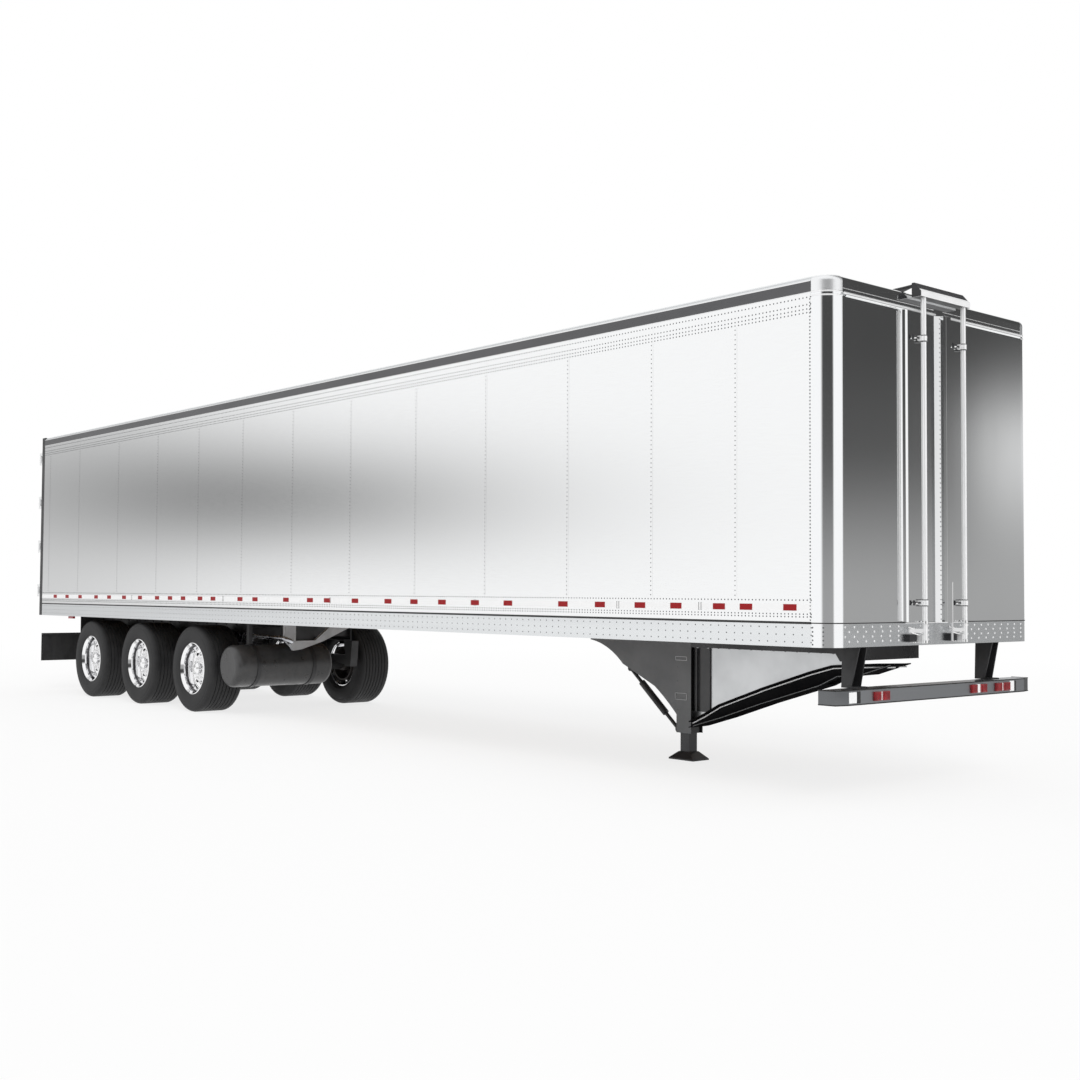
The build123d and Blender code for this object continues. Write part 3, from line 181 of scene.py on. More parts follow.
def buildFloor(setup):
    material = bpy.data.materials.new("studioFloor")
    material.use_nodes = True
    tree = material.node_tree
    tree.nodes.clear()
    matt = addNode(tree, "ShaderNodeBsdfDiffuse", {"Color": setup["color"]})
    white = addNode(tree, "ShaderNodeEmission", {"Color": (1, 1, 1, 1), "Strength": 1.0})
    place = addNode(tree, "ShaderNodeTexCoord").outputs["Object"]
    reach = addNode(tree, "ShaderNodeVectorMath", {0: place}, operation="LENGTH").outputs["Value"]
    camera = addNode(tree, "ShaderNodeLightPath").outputs["Is Camera Ray"]
    blend = addNode(tree, "ShaderNodeMixShader",
                    {0: times(tree, camera, ramp(tree, reach, *setup["fade"])),
                     1: matt.outputs[0], 2: white.outputs[0]})
    # clear from below, so that the underside can be looked at
    below = addNode(tree, "ShaderNodeNewGeometry").outputs["Backfacing"]
    clear = addNode(tree, "ShaderNodeBsdfTransparent")
    seen = addNode(tree, "ShaderNodeMixShader",
                   {0: below, 1: blend.outputs[0], 2: clear.outputs[0]})
    addNode(tree, "ShaderNodeOutputMaterial", {"Surface": seen.outputs[0]})
    mesh = bpy.data.meshes.new("studioFloor")
    bm = bmesh.new()
    bmesh.ops.create_circle(bm, cap_ends=True, radius=setup["size"], segments=setup["sides"])
    bm.to_mesh(mesh)
    bm.free()
    mesh.materials.append(material)
    floor = bpy.data.objects.new("studioFloor", mesh)
    scene.collection.objects.link(floor)
    floor.visible_glossy = False


keySetup = {"strength": 0.9, "softness": 25.0, "tilt": 48, "heading": 58}


def buildKey(setup):
    data = bpy.data.lights.new("keyLight", "SUN")
    data.energy = setup["strength"]
    data.angle = math.radians(setup["softness"])
    key = bpy.data.objects.new("keyLight", data)
    key.rotation_euler = (math.radians(setup["tilt"]), 0, math.radians(setup["heading"]))
    key.visible_glossy = False
    scene.collection.objects.link(key)


buildWorld(studio)
buildFloor(floorSetup)
buildKey(keySetup)
print("studio ready")

finishes = {}


def startFinish(name, metallic=0.0, coat=0.0, specular=0.5, coatRoughness=0.1):
    material = bpy.data.materials.new(name)
    material.use_nodes = True
    tree = material.node_tree
    shader = tree.nodes["Principled BSDF"]
    for label, value in (("Metallic", metallic), ("Coat Weight", coat),
                         ("Coat Roughness", coatRoughness), ("Specular IOR Level", specular)):
        shader.inputs[label].default_value = value
    finishes[name] = material
    return tree, shader


def objectPoint(tree, stretch=(1, 1, 1)):
    coords = addNode(tree, "ShaderNodeTexCoord").outputs["Object"]
    return addNode(tree, "ShaderNodeMapping", {"Vector": coords, "Scale": stretch}).outputs[0]


def objectAxes(tree):
    return splitVector(tree, addNode(tree, "ShaderNodeTexCoord").outputs["Object"])


def facingAxes(tree):
    return splitVector(tree, addNode(tree, "ShaderNodeNewGeometry").outputs["Normal"])


def noise(tree, point, scale, detail=3.0, rough=0.5):
    return addNode(tree, "ShaderNodeTexNoise",
                   {"Vector": point, "Scale": scale, "Detail": detail, "Roughness": rough}
                   ).outputs["Fac"]


def cells(tree, scale, randomness, **settings):
    return addNode(tree, "ShaderNodeTexVoronoi",
                   {"Vector": objectPoint(tree), "Scale": scale, "Randomness": randomness},
                   **settings).outputs


def tint(tree, value, light, dark, low=0.3, high=0.72):
    return mixColors(tree, ramp(tree, value, low, high), light, dark)


def dress(tree, shader, color, roughness):
    tree.links.new(color, shader.inputs["Base Color"])
    tree.links.new(roughness, shader.inputs["Roughness"])


def addBump(tree, shader, height, depth, strength=1.0):
    bump = addNode(tree, "ShaderNodeBump",
                   {"Strength": strength, "Distance": depth, "Height": height})
    last = shader.inputs["Normal"].links
    if last:
        tree.links.new(last[0].from_socket, bump.inputs["Normal"])
    tree.links.new(bump.outputs[0], shader.inputs["Normal"])


# name: light colour, dark colour, patch size, streak direction, roughness low and high,
# grain per metre, grain depth, metallic, coat, specular
plainFinishes = {
    "railAluminium": ((0.81, 0.83, 0.84), (0.77, 0.785, 0.8), 1.6, (0.12, 1, 3),
                      (0.2, 0.28), 900, 2e-05, 1),
    "noseSteel": ((0.93, 0.94, 0.945), (0.91, 0.92, 0.925), 0.9, (1, 1, 0.3),
                  (0.075, 0.1), 800, 8e-06, 1),
    "trimChrome": ((0.95, 0.95, 0.95), (0.9, 0.9, 0.91), 4, (1, 1, 0.4), (0.05, 0.1), 900, 5e-06, 1),
    "roofSheet": ((0.78, 0.78, 0.785), (0.74, 0.745, 0.75), 0.8, (0.5, 1, 1),
                  (0.4, 0.46), 500, 3e-05, 0.35),
    "frameBlack": ((0.022, 0.022, 0.024), (0.012, 0.012, 0.013), 5, (1, 1, 1), (0.32, 0.5), 420, 5e-05),
    "chassisBlack": ((0.03, 0.03, 0.032), (0.014, 0.014, 0.015), 4, (1, 1, 1), (0.36, 0.6), 380, 6e-05),
    "axleBlack": ((0.03, 0.029, 0.028), (0.012, 0.012, 0.012), 9, (1, 1, 1), (0.45, 0.7), 250, 0.00015),
    "legBlack": ((0.03, 0.031, 0.034), (0.012, 0.012, 0.014), 5, (1, 1, 0.5), (0.22, 0.38), 500, 3e-05),
    # grey of the gusset and its rivets, and of the beam's lower edges, where it is a painted sheen
    "gussetAndSheenGrey": ((0.165, 0.17, 0.176), (0.135, 0.14, 0.146), 3, (1, 1, 1), (0.42, 0.56), 480, 4e-05),
    "panelGrey": ((0.63, 0.64, 0.65), (0.58, 0.59, 0.6), 3, (1, 1, 1), (0.28, 0.36), 650, 5e-05, 1),
    # grey of the cross brace, and of the leg's pressed frames, where it is a painted highlight
    "braceAndHighlightGrey": ((0.62, 0.63, 0.65), (0.48, 0.49, 0.5), 6, (1, 1, 1), (0.3, 0.45), 500, 5e-05),
    "pipeGrey": ((0.62, 0.63, 0.66), (0.4, 0.41, 0.43), 14, (1, 1, 1), (0.2, 0.35), 700, 3e-05, 1),
    "flapRubber": ((0.026, 0.026, 0.027), (0.014, 0.014, 0.015), 7, (1, 1, 0.4),
                   (0.6, 0.85), 260, 0.00025),
    "bellowsRubber": ((0.024, 0.024, 0.025), (0.012, 0.012, 0.012), 12, (1, 1, 2),
                      (0.55, 0.8), 300, 0.0002),
    "doorPaint": ((0.86, 0.865, 0.87), (0.82, 0.825, 0.83), 1.1, (1, 1, 0.4), (0.2, 0.3), 500, 3e-05),
    "pinSteel": ((0.42, 0.42, 0.43), (0.2, 0.2, 0.21), 20, (1, 1, 3), (0.25, 0.5), 900, 3e-05, 1),
    # dark strip for the top rails: a painted reflection of the dark horizon
    "darkReflectionBand": ((0.1, 0.1, 0.105), (0.075, 0.075, 0.08), 2, (0.2, 1, 1), (0.25, 0.35), 700, 2e-05),
    "beamBlack": ((0.016, 0.016, 0.017), (0.009, 0.009, 0.01), 4, (0.4, 1, 1),
                  (0.16, 0.28), 500, 2e-05, 0, 0, 0.0),
    # rivet heads darker than the sheet they hold: painted shade on their domes
    "rivetShadeGrey": ((0.24, 0.245, 0.25), (0.17, 0.175, 0.18), 30, (1, 1, 1),
                  (0.3, 0.45), 800, 1e-05, 0.8),
    "rivetShadeDark": ((0.11, 0.113, 0.118), (0.07, 0.072, 0.076), 30, (1, 1, 1),
                  (0.35, 0.5), 800, 1e-05, 0.5),
    # bright rods, and bright lines painted as highlights on beads and beam webs
    "rodBright": ((0.93, 0.93, 0.935), (0.86, 0.865, 0.87), 5, (1, 1, 0.2),
                  (0.08, 0.14), 800, 8e-06, 0.25, 0.5),
    "gripBlack": ((0.07, 0.07, 0.075), (0.04, 0.04, 0.043), 14, (1, 1, 1), (0.3, 0.5), 600, 6e-05),
    # black for seals and slots, and for dark strips painted as shadow and shade
    "sealBlack": ((0.02, 0.02, 0.021), (0.01, 0.01, 0.01), 14, (1, 1, 1), (0.4, 0.6), 600, 6e-05),
}


def plainFinish(name, light, dark, patch, streak, rough, grain, depth, *values):
    tree, shader = startFinish(name, *values)
    wide = noise(tree, objectPoint(tree, streak), patch, 4, 0.6)
    fine = noise(tree, objectPoint(tree, streak), grain, 2)
    scuff = calc(tree, "ADD", times(tree, wide, 0.75), times(tree, fine, 0.25))
    dress(tree, shader, tint(tree, wide, light, dark), ramp(tree, scuff, 0.32, 0.68, *rough))
    addBump(tree, shader, fine, depth)


def polishedSkin():
    # bright sheet with fine level streaks from rolling
    tree, shader = startFinish("polishedSkin", 1.0)
    streaks = noise(tree, objectPoint(tree, (1, 1, 22)), 7, 4, 0.6)
    dress(tree, shader, tint(tree, streaks, (0.925, 0.935, 0.94), (0.91, 0.915, 0.92), high=0.75),
          ramp(tree, streaks, 0.3, 0.7, 0.1, 0.125))
    addBump(tree, shader, noise(tree, objectPoint(tree, (1, 1, 6)), 420, 2), 0.00001)


# lines: radius and half width of the dark rings painted at the turned steps between the rim's bands, as
# their shade
wheelLook = {"middle": -2.357, "pitch": 1.46, "height": 0.509, "drum": 0.224, "faceY": 1.045,
             "lines": ((0.268, 0.0022), (0.246, 0.0016), (0.2, 0.0016), (0.162, 0.0014)),
             "alloy": ((0.95, 0.95, 0.955), (0.9, 0.9, 0.91)), "line": (0.16, 0.16, 0.165),
             "rust": ((0.03, 0.028, 0.027), (0.06, 0.05, 0.045))}


def wheelFinish():
    # mirror-bright rim and disc, dark iron drum behind them
    look = wheelLook
    tree, shader = startFinish("wheelAlloy")
    place = objectAxes(tree)
    along = addNode(tree, "ShaderNodeMath",
                    {0: calc(tree, "SUBTRACT", place[0], look["middle"]),
                     1: look["pitch"] / 2, 2: -look["pitch"] / 2}, operation="WRAP").outputs[0]
    upward = calc(tree, "SUBTRACT", place[2], look["height"])
    radius = calc(tree, "SQRT", calc(tree, "ADD", times(tree, along, along),
                                     times(tree, upward, upward)))
    outward = calc(tree, "ABSOLUTE", place[1])
    iron = times(tree, ramp(tree, radius, look["drum"] + 0.002, look["drum"]),
                 ramp(tree, outward, look["faceY"] + 0.004, look["faceY"]))
    rings = addNode(tree, "ShaderNodeCombineXYZ", {0: times(tree, radius, 60.0)})
    turned = noise(tree, rings.outputs[0], 9, 3)
    grime = noise(tree, objectPoint(tree), 14, 4, 0.65)
    alloy = tint(tree, turned, *look["alloy"], high=0.7)
    # dark rings at the steps: painted shade
    for line, half in look["lines"]:
        away = calc(tree, "ABSOLUTE", calc(tree, "SUBTRACT", radius, line))
        alloy = mixColors(tree, ramp(tree, away, half + 0.0012, half), alloy, look["line"])
    rust = tint(tree, grime, *look["rust"], 0.35, 0.7)
    smooth = ramp(tree, turned, 0.3, 0.7, 0.05, 0.1)
    dress(tree, shader, mixColors(tree, iron, alloy, rust), mixValues(tree, iron, smooth, 0.6))
    tree.links.new(ramp(tree, iron, 0, 1, 1, 0, False), shader.inputs["Metallic"])
    addBump(tree, shader, turned, 0.00002)


def tyreFinish():
    tree, shader = startFinish("tyreRubber", specular=0.3)
    bloom = noise(tree, objectPoint(tree), 5, 4, 0.6)
    dress(tree, shader, tint(tree, bloom, (0.02, 0.02, 0.021), (0.034, 0.034, 0.035), 0.35, 0.7),
          ramp(tree, bloom, 0.3, 0.7, 0.52, 0.7))
    addBump(tree, shader, noise(tree, objectPoint(tree), 340), 0.0002)


def lensFinish():
    tree, shader = startFinish("redLens", coat=0.6)
    prisms = cells(tree, 150.0, 0.1)["Distance"]
    depth = noise(tree, objectPoint(tree), 30, 2)
    dress(tree, shader, tint(tree, depth, (0.2, 0.006, 0.01), (0.34, 0.012, 0.018), high=0.7),
          ramp(tree, prisms, 0.0, 0.7, 0.1, 0.3))
    addBump(tree, shader, prisms, 0.0012, 0.6)


def retroFinish(name, light, dark, shine):
    # reflecting tape: a fine cell pattern under a clear face
    tree, shader = startFinish(name, specular=shine)
    edges = cells(tree, 260.0, 0.05, feature="DISTANCE_TO_EDGE")["Distance"]
    fade = noise(tree, objectPoint(tree), 3)
    web = tint(tree, edges, dark, light, 0.02, 0.1)
    dress(tree, shader, mixColors(tree, ramp(tree, fade, 0.3, 0.8, 0, 0.35), web, dark),
          ramp(tree, fade, 0.3, 0.7, 0.25, 0.4))
    addBump(tree, shader, edges, 0.0002, 0.4)


deckLook = {"board": 0.16, "gap": 0.012, "wood": ((0.33, 0.2, 0.11), (0.5, 0.34, 0.2)),
            "old": (0.3, 0.19, 0.11), "joint": (0.05, 0.035, 0.025), "grain": (0.5, 14.0, 3.7)}


def deckFinish():
    look = deckLook
    tree, shader = startFinish("deckBoards", coat=0.15, coatRoughness=0.3)
    place = objectAxes(tree)
    board = calc(tree, "DIVIDE", place[1], look["board"])
    number = calc(tree, "FLOOR", board)
    edge = calc(tree, "ABSOLUTE", calc(tree, "SUBTRACT", calc(tree, "FRACT", board), 0.5))
    joint = ramp(tree, edge, 0.5 - look["gap"], 0.5)
    tone = addNode(tree, "ShaderNodeTexWhiteNoise", {"W": number}, noise_dimensions="1D")
    shift = addNode(tree, "ShaderNodeCombineXYZ",
                    {axis: times(tree, value, look["grain"][axis])
                     for axis, value in enumerate((place[0], place[1], number))})
    grain = noise(tree, shift.outputs[0], 4, 6, 0.65)
    wood = tint(tree, grain, *look["wood"], high=0.7)
    wood = mixColors(tree, ramp(tree, tone.outputs[0], 0, 1, 0, 0.45), wood, look["old"])
    dress(tree, shader, mixColors(tree, joint, wood, look["joint"]),
          ramp(tree, grain, 0.3, 0.7, 0.4, 0.6))
    addBump(tree, shader, joint, -0.002)
    addBump(tree, shader, grain, 0.0004)


def zincFinish():
    tree, shader = startFinish("zincPlate", 1.0)
    spangle = cells(tree, 45.0, 1.0)["Color"]
    tone = addNode(tree, "ShaderNodeSeparateColor", {0: spangle}).outputs[0]
    dress(tree, shader, mixColors(tree, tone, (0.56, 0.57, 0.59), (0.63, 0.64, 0.66)),
          ramp(tree, tone, 0, 1, 0.34, 0.42))
    addBump(tree, shader, noise(tree, objectPoint(tree), 300, 2), 0.00004)


def tankFinish():
    # black wrap with a few slanting creases
    tree, shader = startFinish("tankBlack")
    creases = addNode(tree, "ShaderNodeTexWave",
                      {"Vector": objectPoint(tree, (1, 1.0, 0.6)), "Scale": 1.3,
                       "Distortion": 7.0, "Detail": 3.0, "Detail Scale": 1.2},
                      bands_direction="DIAGONAL").outputs["Fac"]
    dust = noise(tree, objectPoint(tree), 6, 4, 0.6)
    dress(tree, shader, tint(tree, dust, (0.04, 0.04, 0.041), (0.07, 0.07, 0.071), 0.35, 0.75),
          ramp(tree, dust, 0.3, 0.7, 0.26, 0.42))
    addBump(tree, shader, ramp(tree, creases, 0.0, 0.12), 0.002, 0.6)
    addBump(tree, shader, noise(tree, objectPoint(tree), 240, 2), 0.0001)


def cornerFinish():
    # polished post with a satin cast cap on top
    tree, shader = startFinish("cornerChrome", 1.0)
    cap = ramp(tree, objectAxes(tree)[2], 3.486, 3.494)
    streaks = noise(tree, objectPoint(tree, (1, 1, 0.15)), 1.2, 4, 0.6)
    smooth = ramp(tree, streaks, 0.32, 0.68, 0.08, 0.12)
    dress(tree, shader, tint(tree, streaks, (0.93, 0.94, 0.95), (0.91, 0.92, 0.935)),
          mixValues(tree, cap, smooth, 0.36))
    addBump(tree, shader, times(tree, noise(tree, objectPoint(tree), 90), cap), 0.0002)


legLook = {"side": 0.0742, "front": 4.52, "grey": ((0.17, 0.175, 0.18), (0.14, 0.145, 0.15)),
           "black": ((0.01, 0.01, 0.011), (0.006, 0.006, 0.007)),
           "wing": ((0.06, 0.061, 0.064), (0.045, 0.046, 0.048))}


def legFinish():
    # grey outer faces, with painted shade: black in the recess between the lips and dark on the wings
    # ahead of them
    look = legLook
    tree, shader = startFinish("legPaintShaded")
    place = objectAxes(tree)
    outer = ramp(tree, calc(tree, "ABSOLUTE", place[1]), look["side"] - 0.001, look["side"])
    ahead = ramp(tree, place[0], look["front"], look["front"] + 0.004)
    wear = noise(tree, objectPoint(tree), 3, 4, 0.6)
    grey, black, wing = (tint(tree, wear, *look[key]) for key in ("grey", "black", "wing"))
    dress(tree, shader, mixColors(tree, outer, mixColors(tree, ahead, black, wing), grey),
          mixValues(tree, outer, 0.26, ramp(tree, wear, 0.3, 0.7, 0.42, 0.56)))
    addBump(tree, shader, noise(tree, objectPoint(tree), 480, 2), 0.00004)


def headFinish():
    # white front edge below a dark slope; faces that look down are painted dark as shade
    tree, shader = startFinish("headEnamelShaded")
    # dark: faces looking down, as painted shade, and all above 3.611 m
    dark = calc(tree, "MAXIMUM", ramp(tree, facingAxes(tree)[2], -0.5, -0.8),
                ramp(tree, objectAxes(tree)[2], 3.611, 3.615))
    wear = noise(tree, objectPoint(tree), 6, 4, 0.6)
    white = tint(tree, wear, (0.93, 0.93, 0.935), (0.86, 0.865, 0.87))
    black = tint(tree, wear, (0.06, 0.06, 0.063), (0.04, 0.04, 0.042))
    dress(tree, shader, mixColors(tree, dark, white, black),
          mixValues(tree, dark, ramp(tree, wear, 0.3, 0.7, 0.14, 0.22), 0.4))
    addBump(tree, shader, noise(tree, objectPoint(tree), 600, 2), 0.00002)


def bumperFinish():
    # brushed bar whose swept ends are painted darker than its face, as shade where they turn from the
    # light
    tree, shader = startFinish("bumperBrushedShaded", 1.0)
    ends = ramp(tree, calc(tree, "ABSOLUTE", facingAxes(tree)[1]), 0.15, 0.25)
    streaks = noise(tree, objectPoint(tree, (1, 0.15, 2)), 2.2, 4, 0.6)
    pale = tint(tree, streaks, (0.37, 0.38, 0.395), (0.32, 0.33, 0.345))
    deep = tint(tree, streaks, (0.16, 0.165, 0.172), (0.12, 0.125, 0.13))
    dress(tree, shader, mixColors(tree, ends, pale, deep),
          ramp(tree, streaks, 0.32, 0.68, 0.26, 0.38))
    addBump(tree, shader, noise(tree, objectPoint(tree, (1, 0.15, 2)), 900, 2), 0.00002)


for name, values in plainFinishes.items():
    plainFinish(name, *values)
retroFinish("retroWhite", (0.98, 0.98, 0.98), (0.9, 0.905, 0.91), 0.5)
retroFinish("retroRed", (0.43, 0.016, 0.02), (0.3, 0.012, 0.015), 0.15)
for buildFinish in (polishedSkin, wheelFinish, tyreFinish, lensFinish, deckFinish, zincFinish,
                    tankFinish, cornerFinish, legFinish, headFinish, bumperFinish):
    buildFinish()

slotFinish = {"skin_white": "polishedSkin", "rail_aluminium": "railAluminium",
              "post_chrome": "cornerChrome", "nose_metal": "noseSteel", "roof_white": "roofSheet",
              "frame_black": "frameBlack", "steel_zinc": "zincPlate", "lamp_red": "redLens",
              "bumper_aluminium": "bumperBrushedShaded", "steel_pin": "pinSteel",
              "leg_black": "legBlack", "gusset_grey": "gussetAndSheenGrey", "panel_grey": "panelGrey",
              "axle_black": "axleBlack", "bellows_rubber": "bellowsRubber",
              "tank_black": "tankBlack", "flap_rubber": "flapRubber", "brace_grey": "braceAndHighlightGrey",
              "pipe_grey": "pipeGrey", "tyre_rubber": "tyreRubber", "wheel_alloy": "wheelAlloy",
              "door_white": "doorPaint", "deck_wood": "deckBoards",
              "chassis_black": "chassisBlack"}
# nodes whose finish differs from the rest of their slot
nodeFinish = {"leg_outer": "legPaintShaded", "brace_beam": "beamBlack", "nose_rods": "rodBright",
              "nose_beads": "noseSteel", "nose_head": "headEnamelShaded", "coupler": "legBlack"}

for row in frame["record"]["subparts"]:
    piece = nodes[row["node"]]
    finish = finishes[nodeFinish.get(row["node"]) or slotFinish[row["material_slot"]]]
    for holder in piece.material_slots:
        holder.material = finish
    if not piece.material_slots:
        piece.data.materials.append(finish)
print("finishes ready,", len(finishes))


def keepPiece(name, mesh, slot, smooth=30, carrier="trailer", stands=()):
    mesh.shade_smooth()
    mesh.set_sharp_from_angle(angle=math.radians(smooth))
    piece = bpy.data.objects.new(name, mesh)
    scene.collection.objects.link(piece)
    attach(piece, carrier)
    if stands:
        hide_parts(*stands)


def keepBuilt(name, bm, finish, slot, *others):
    bmesh.ops.recalc_face_normals(bm, faces=bm.faces)
    mesh = bpy.data.meshes.new(name)
    bm.to_mesh(mesh)
    bm.free()
    mesh.materials.append(finishes[finish])
    keepPiece(name, mesh, slot, *others)


def addBar(bm, one, two):
    # one closed bar between two opposite corners, given in any order
    low, high = zip(*(sorted(pair) for pair in zip(one, two)))
    size = [b - a for a, b in zip(low, high)]
    middle = [(a + b) / 2 for a, b in zip(low, high)]
    move = Matrix.Translation(middle) @ Matrix.Diagonal((*size, 1))
    bmesh.ops.create_cube(bm, size=1.0, matrix=move)


def addPlate(bm, face, proud, y, width, middle, height):
    # a flat plate on a face that looks along X
    addBar(bm, (face, y - width / 2, middle - height / 2),
           (face + proud, y + width / 2, middle + height / 2))


def softenBars(bm, width, segments=1):
    bmesh.ops.bevel(bm, geom=bm.edges[:], offset=width, segments=segments, profile=0.7,
                    affect="EDGES")


def addProfile(bm, points, origin, along, across=(0, 0, 1)):
    # a closed outline, in X and across, pushed along a vector
    base = [Vector(origin) + Vector((x, 0, 0)) + Vector(across) * y for x, y in points]
    near = [bm.verts.new(p) for p in base]
    far = [bm.verts.new(p + Vector(along)) for p in base]
    bm.faces.new(near)
    bm.faces.new(far[::-1])
    for i in range(len(points)):
        j = (i + 1) % len(points)
        bm.faces.new((near[i], near[j], far[j], far[i]))


def addRod(bm, start, end, radius, sides=12):
    start, end = Vector(start), Vector(end)
    way = end - start
    turn = way.to_track_quat("Z", "Y").to_matrix().to_4x4()
    bmesh.ops.create_cone(bm, cap_ends=True, segments=sides, radius1=radius, radius2=radius,
                          depth=way.length, matrix=Matrix.Translation((start + end) / 2) @ turn)


def addParts(bm, parts, spot=(0, 0, 0), side=1):
    # bar: two corners; rod: two ends, radius, sides; profile: outline, origin, way, across
    def place(point):
        return Vector(spot) + Vector((point[0], side * point[1], point[2]))

    for first, second, *others in parts:
        if isinstance(first[0], tuple):
            way, *across = others
            addProfile(bm, first, place(second), (way[0], side * way[1], way[2]), *across)
        elif others:
            addRod(bm, place(first), place(second), *others)
        else:
            addBar(bm, place(first), place(second))


def buildPieces(pieces, spots=((0, 0, 0),), sides=(1,), tag="", carrier="trailer"):
    # pieces: finish, slot, smoothing angle, parts, then width and steps of softened edges
    for name, (finish, slot, smooth, parts, *edge) in pieces.items():
        bm = bmesh.new()
        for spot in spots:
            for side in sides:
                addParts(bm, parts, spot, side)
        if edge:
            softenBars(bm, *edge)
        keepBuilt(name + tag, bm, finish, slot, smooth, carrier)


def startTree(name, inputs, output):
    # inputs: label and socket type
    tree = bpy.data.node_groups.new(name, "GeometryNodeTree")
    for label, kind in inputs.items():
        tree.interface.new_socket(label, in_out="INPUT", socket_type=f"NodeSocket{kind}")
    tree.interface.new_socket(output, in_out="OUTPUT", socket_type="NodeSocketGeometry")
    return tree, tree.nodes.new("NodeGroupInput").outputs


def endTree(tree, placed, finish, output):
    solid = addNode(tree, "GeometryNodeRealizeInstances", {"Geometry": placed})
    dressed = addNode(tree, "GeometryNodeSetMaterial",
                      {"Geometry": solid.outputs[0], "Material": finish})
    addNode(tree, "NodeGroupOutput", {output: dressed.outputs[0]})
    return tree


def buildStudTree():
    # edges of the input mesh are the rows; "outward" says where each head points
    tree, given = startTree("studRows", {"Rows": "Geometry", "Pitch": "Float", "Radius": "Float",
                                         "Height": "Float", "Sides": "Int",
                                         "Finish": "Material"}, "Studs")
    outward = addNode(tree, "GeometryNodeInputNamedAttribute", {"Name": "outward"},
                      data_type="FLOAT_VECTOR").outputs["Attribute"]
    line = addNode(tree, "GeometryNodeMeshToCurve", {"Mesh": given["Rows"]}).outputs[0]
    spread = addNode(tree, "GeometryNodeResampleCurve",
                     {"Curve": line, "Length": given["Pitch"]}, mode="LENGTH").outputs[0]
    head = addNode(tree, "GeometryNodeMeshCone",
                   {"Vertices": given["Sides"], "Side Segments": 1,
                    "Radius Top": times(tree, given["Radius"], 0.55),
                    "Radius Bottom": given["Radius"], "Depth": given["Height"]},
                   fill_type="TRIANGLE_FAN").outputs["Mesh"]
    turn = addNode(tree, "FunctionNodeAlignRotationToVector", {"Vector": outward}, axis="Z")
    placed = addNode(tree, "GeometryNodeInstanceOnPoints",
                     {"Points": spread, "Instance": head, "Rotation": turn.outputs[0]})
    return endTree(tree, placed.outputs[0], given["Finish"], "Studs")


def buildRingTree():
    # six-sided nuts on a circle, turned to face along an axle
    tree, given = startTree("nutRing", {"Start": "Geometry", "Count": "Int",
                                        "Ring Radius": "Float", "Nut Radius": "Float",
                                        "Nut Height": "Float", "Place": "Vector",
                                        "Turn": "Rotation", "Finish": "Material"}, "Nuts")
    circle = addNode(tree, "GeometryNodeMeshCircle",
                     {"Vertices": given["Count"], "Radius": given["Ring Radius"]}).outputs[0]
    joined = tree.nodes.new("GeometryNodeJoinGeometry")
    # nut, shank and washer, as shares of the nut's radius and height
    for sides, wide, tall in ((6, 1, 1), (10, 0.55, 1.9), (14, 1.3, 0.5)):
        part = addNode(tree, "GeometryNodeMeshCylinder",
                       {"Vertices": sides, "Radius": times(tree, given["Nut Radius"], wide),
                        "Depth": times(tree, given["Nut Height"], tall)})
        tree.links.new(part.outputs[0], joined.inputs[0])
    placed = addNode(tree, "GeometryNodeInstanceOnPoints",
                     {"Points": circle, "Instance": joined.outputs[0]}).outputs[0]
    moved = addNode(tree, "GeometryNodeTransform",
                    {"Geometry": placed, "Translation": given["Place"],
                     "Rotation": given["Turn"]})
    return endTree(tree, moved.outputs[0], given["Finish"], "Nuts")


def buildPlateTree():
    # one block of a given size on every point
    tree, given = startTree("platesOnPoints", {"Points": "Geometry", "Size": "Vector",
                                               "Turn": "Rotation", "Finish": "Material"},
                            "Plates")
    block = addNode(tree, "GeometryNodeMeshCube", {"Size": given["Size"]}).outputs[0]
    placed = addNode(tree, "GeometryNodeInstanceOnPoints",
                     {"Points": given["Points"], "Instance": block, "Rotation": given["Turn"]})
    return endTree(tree, placed.outputs[0], given["Finish"], "Plates")


studTree, ringTree, plateTree = buildStudTree(), buildRingTree(), buildPlateTree()


def growMesh(tree, start, values, name):
    # runs a tree on a start mesh and keeps the result as a plain mesh
    holder = bpy.data.objects.new(name + "Grow", start)
    scene.collection.objects.link(holder)
    modifier = holder.modifiers.new("grow", "NODES")
    modifier.node_group = tree
    for item in tree.interface.items_tree:
        if item.item_type == "SOCKET" and item.in_out == "INPUT" and item.name in values:
            modifier[item.identifier] = values[item.name]
    bpy.context.view_layer.update()
    grown = bpy.data.meshes.new_from_object(
        holder.evaluated_get(bpy.context.evaluated_depsgraph_get()))
    holder.modifiers.clear()
    bpy.data.objects.remove(holder)
    grown.name = name
    if "outward" in grown.attributes:
        grown.attributes.remove(grown.attributes["outward"])
    return grown


def studRows(name, rows, studs, finish, slot, carrier="trailer"):
    # rows: start, end, outward; studs: pitch, radius, height, sides
    start = bpy.data.meshes.new(name + "Rows")
    points = [Vector(p) for row in rows for p in row[:2]]
    start.from_pydata(points, [(2 * i, 2 * i + 1) for i in range(len(rows))], [])
    facing = start.attributes.new("outward", "FLOAT_VECTOR", "POINT")
    facing.data.foreach_set("vector", [c for row in rows for _ in (0, 1) for c in row[2]])
    values = dict(zip(("Pitch", "Radius", "Height", "Sides"), studs), Finish=finishes[finish])
    keepPiece(name, growMesh(studTree, start, values, name), slot, 40, carrier)


def platesOn(name, points, size, finish, slot, turn=(0, 0, 0)):
    start = bpy.data.meshes.new(name + "Points")
    start.from_pydata([Vector(p) for p in points], [], [])
    grown = growMesh(plateTree, start, {"Size": size, "Turn": turn, "Finish": finishes[finish]},
                     name)
    keepPiece(name, grown, slot, 35)


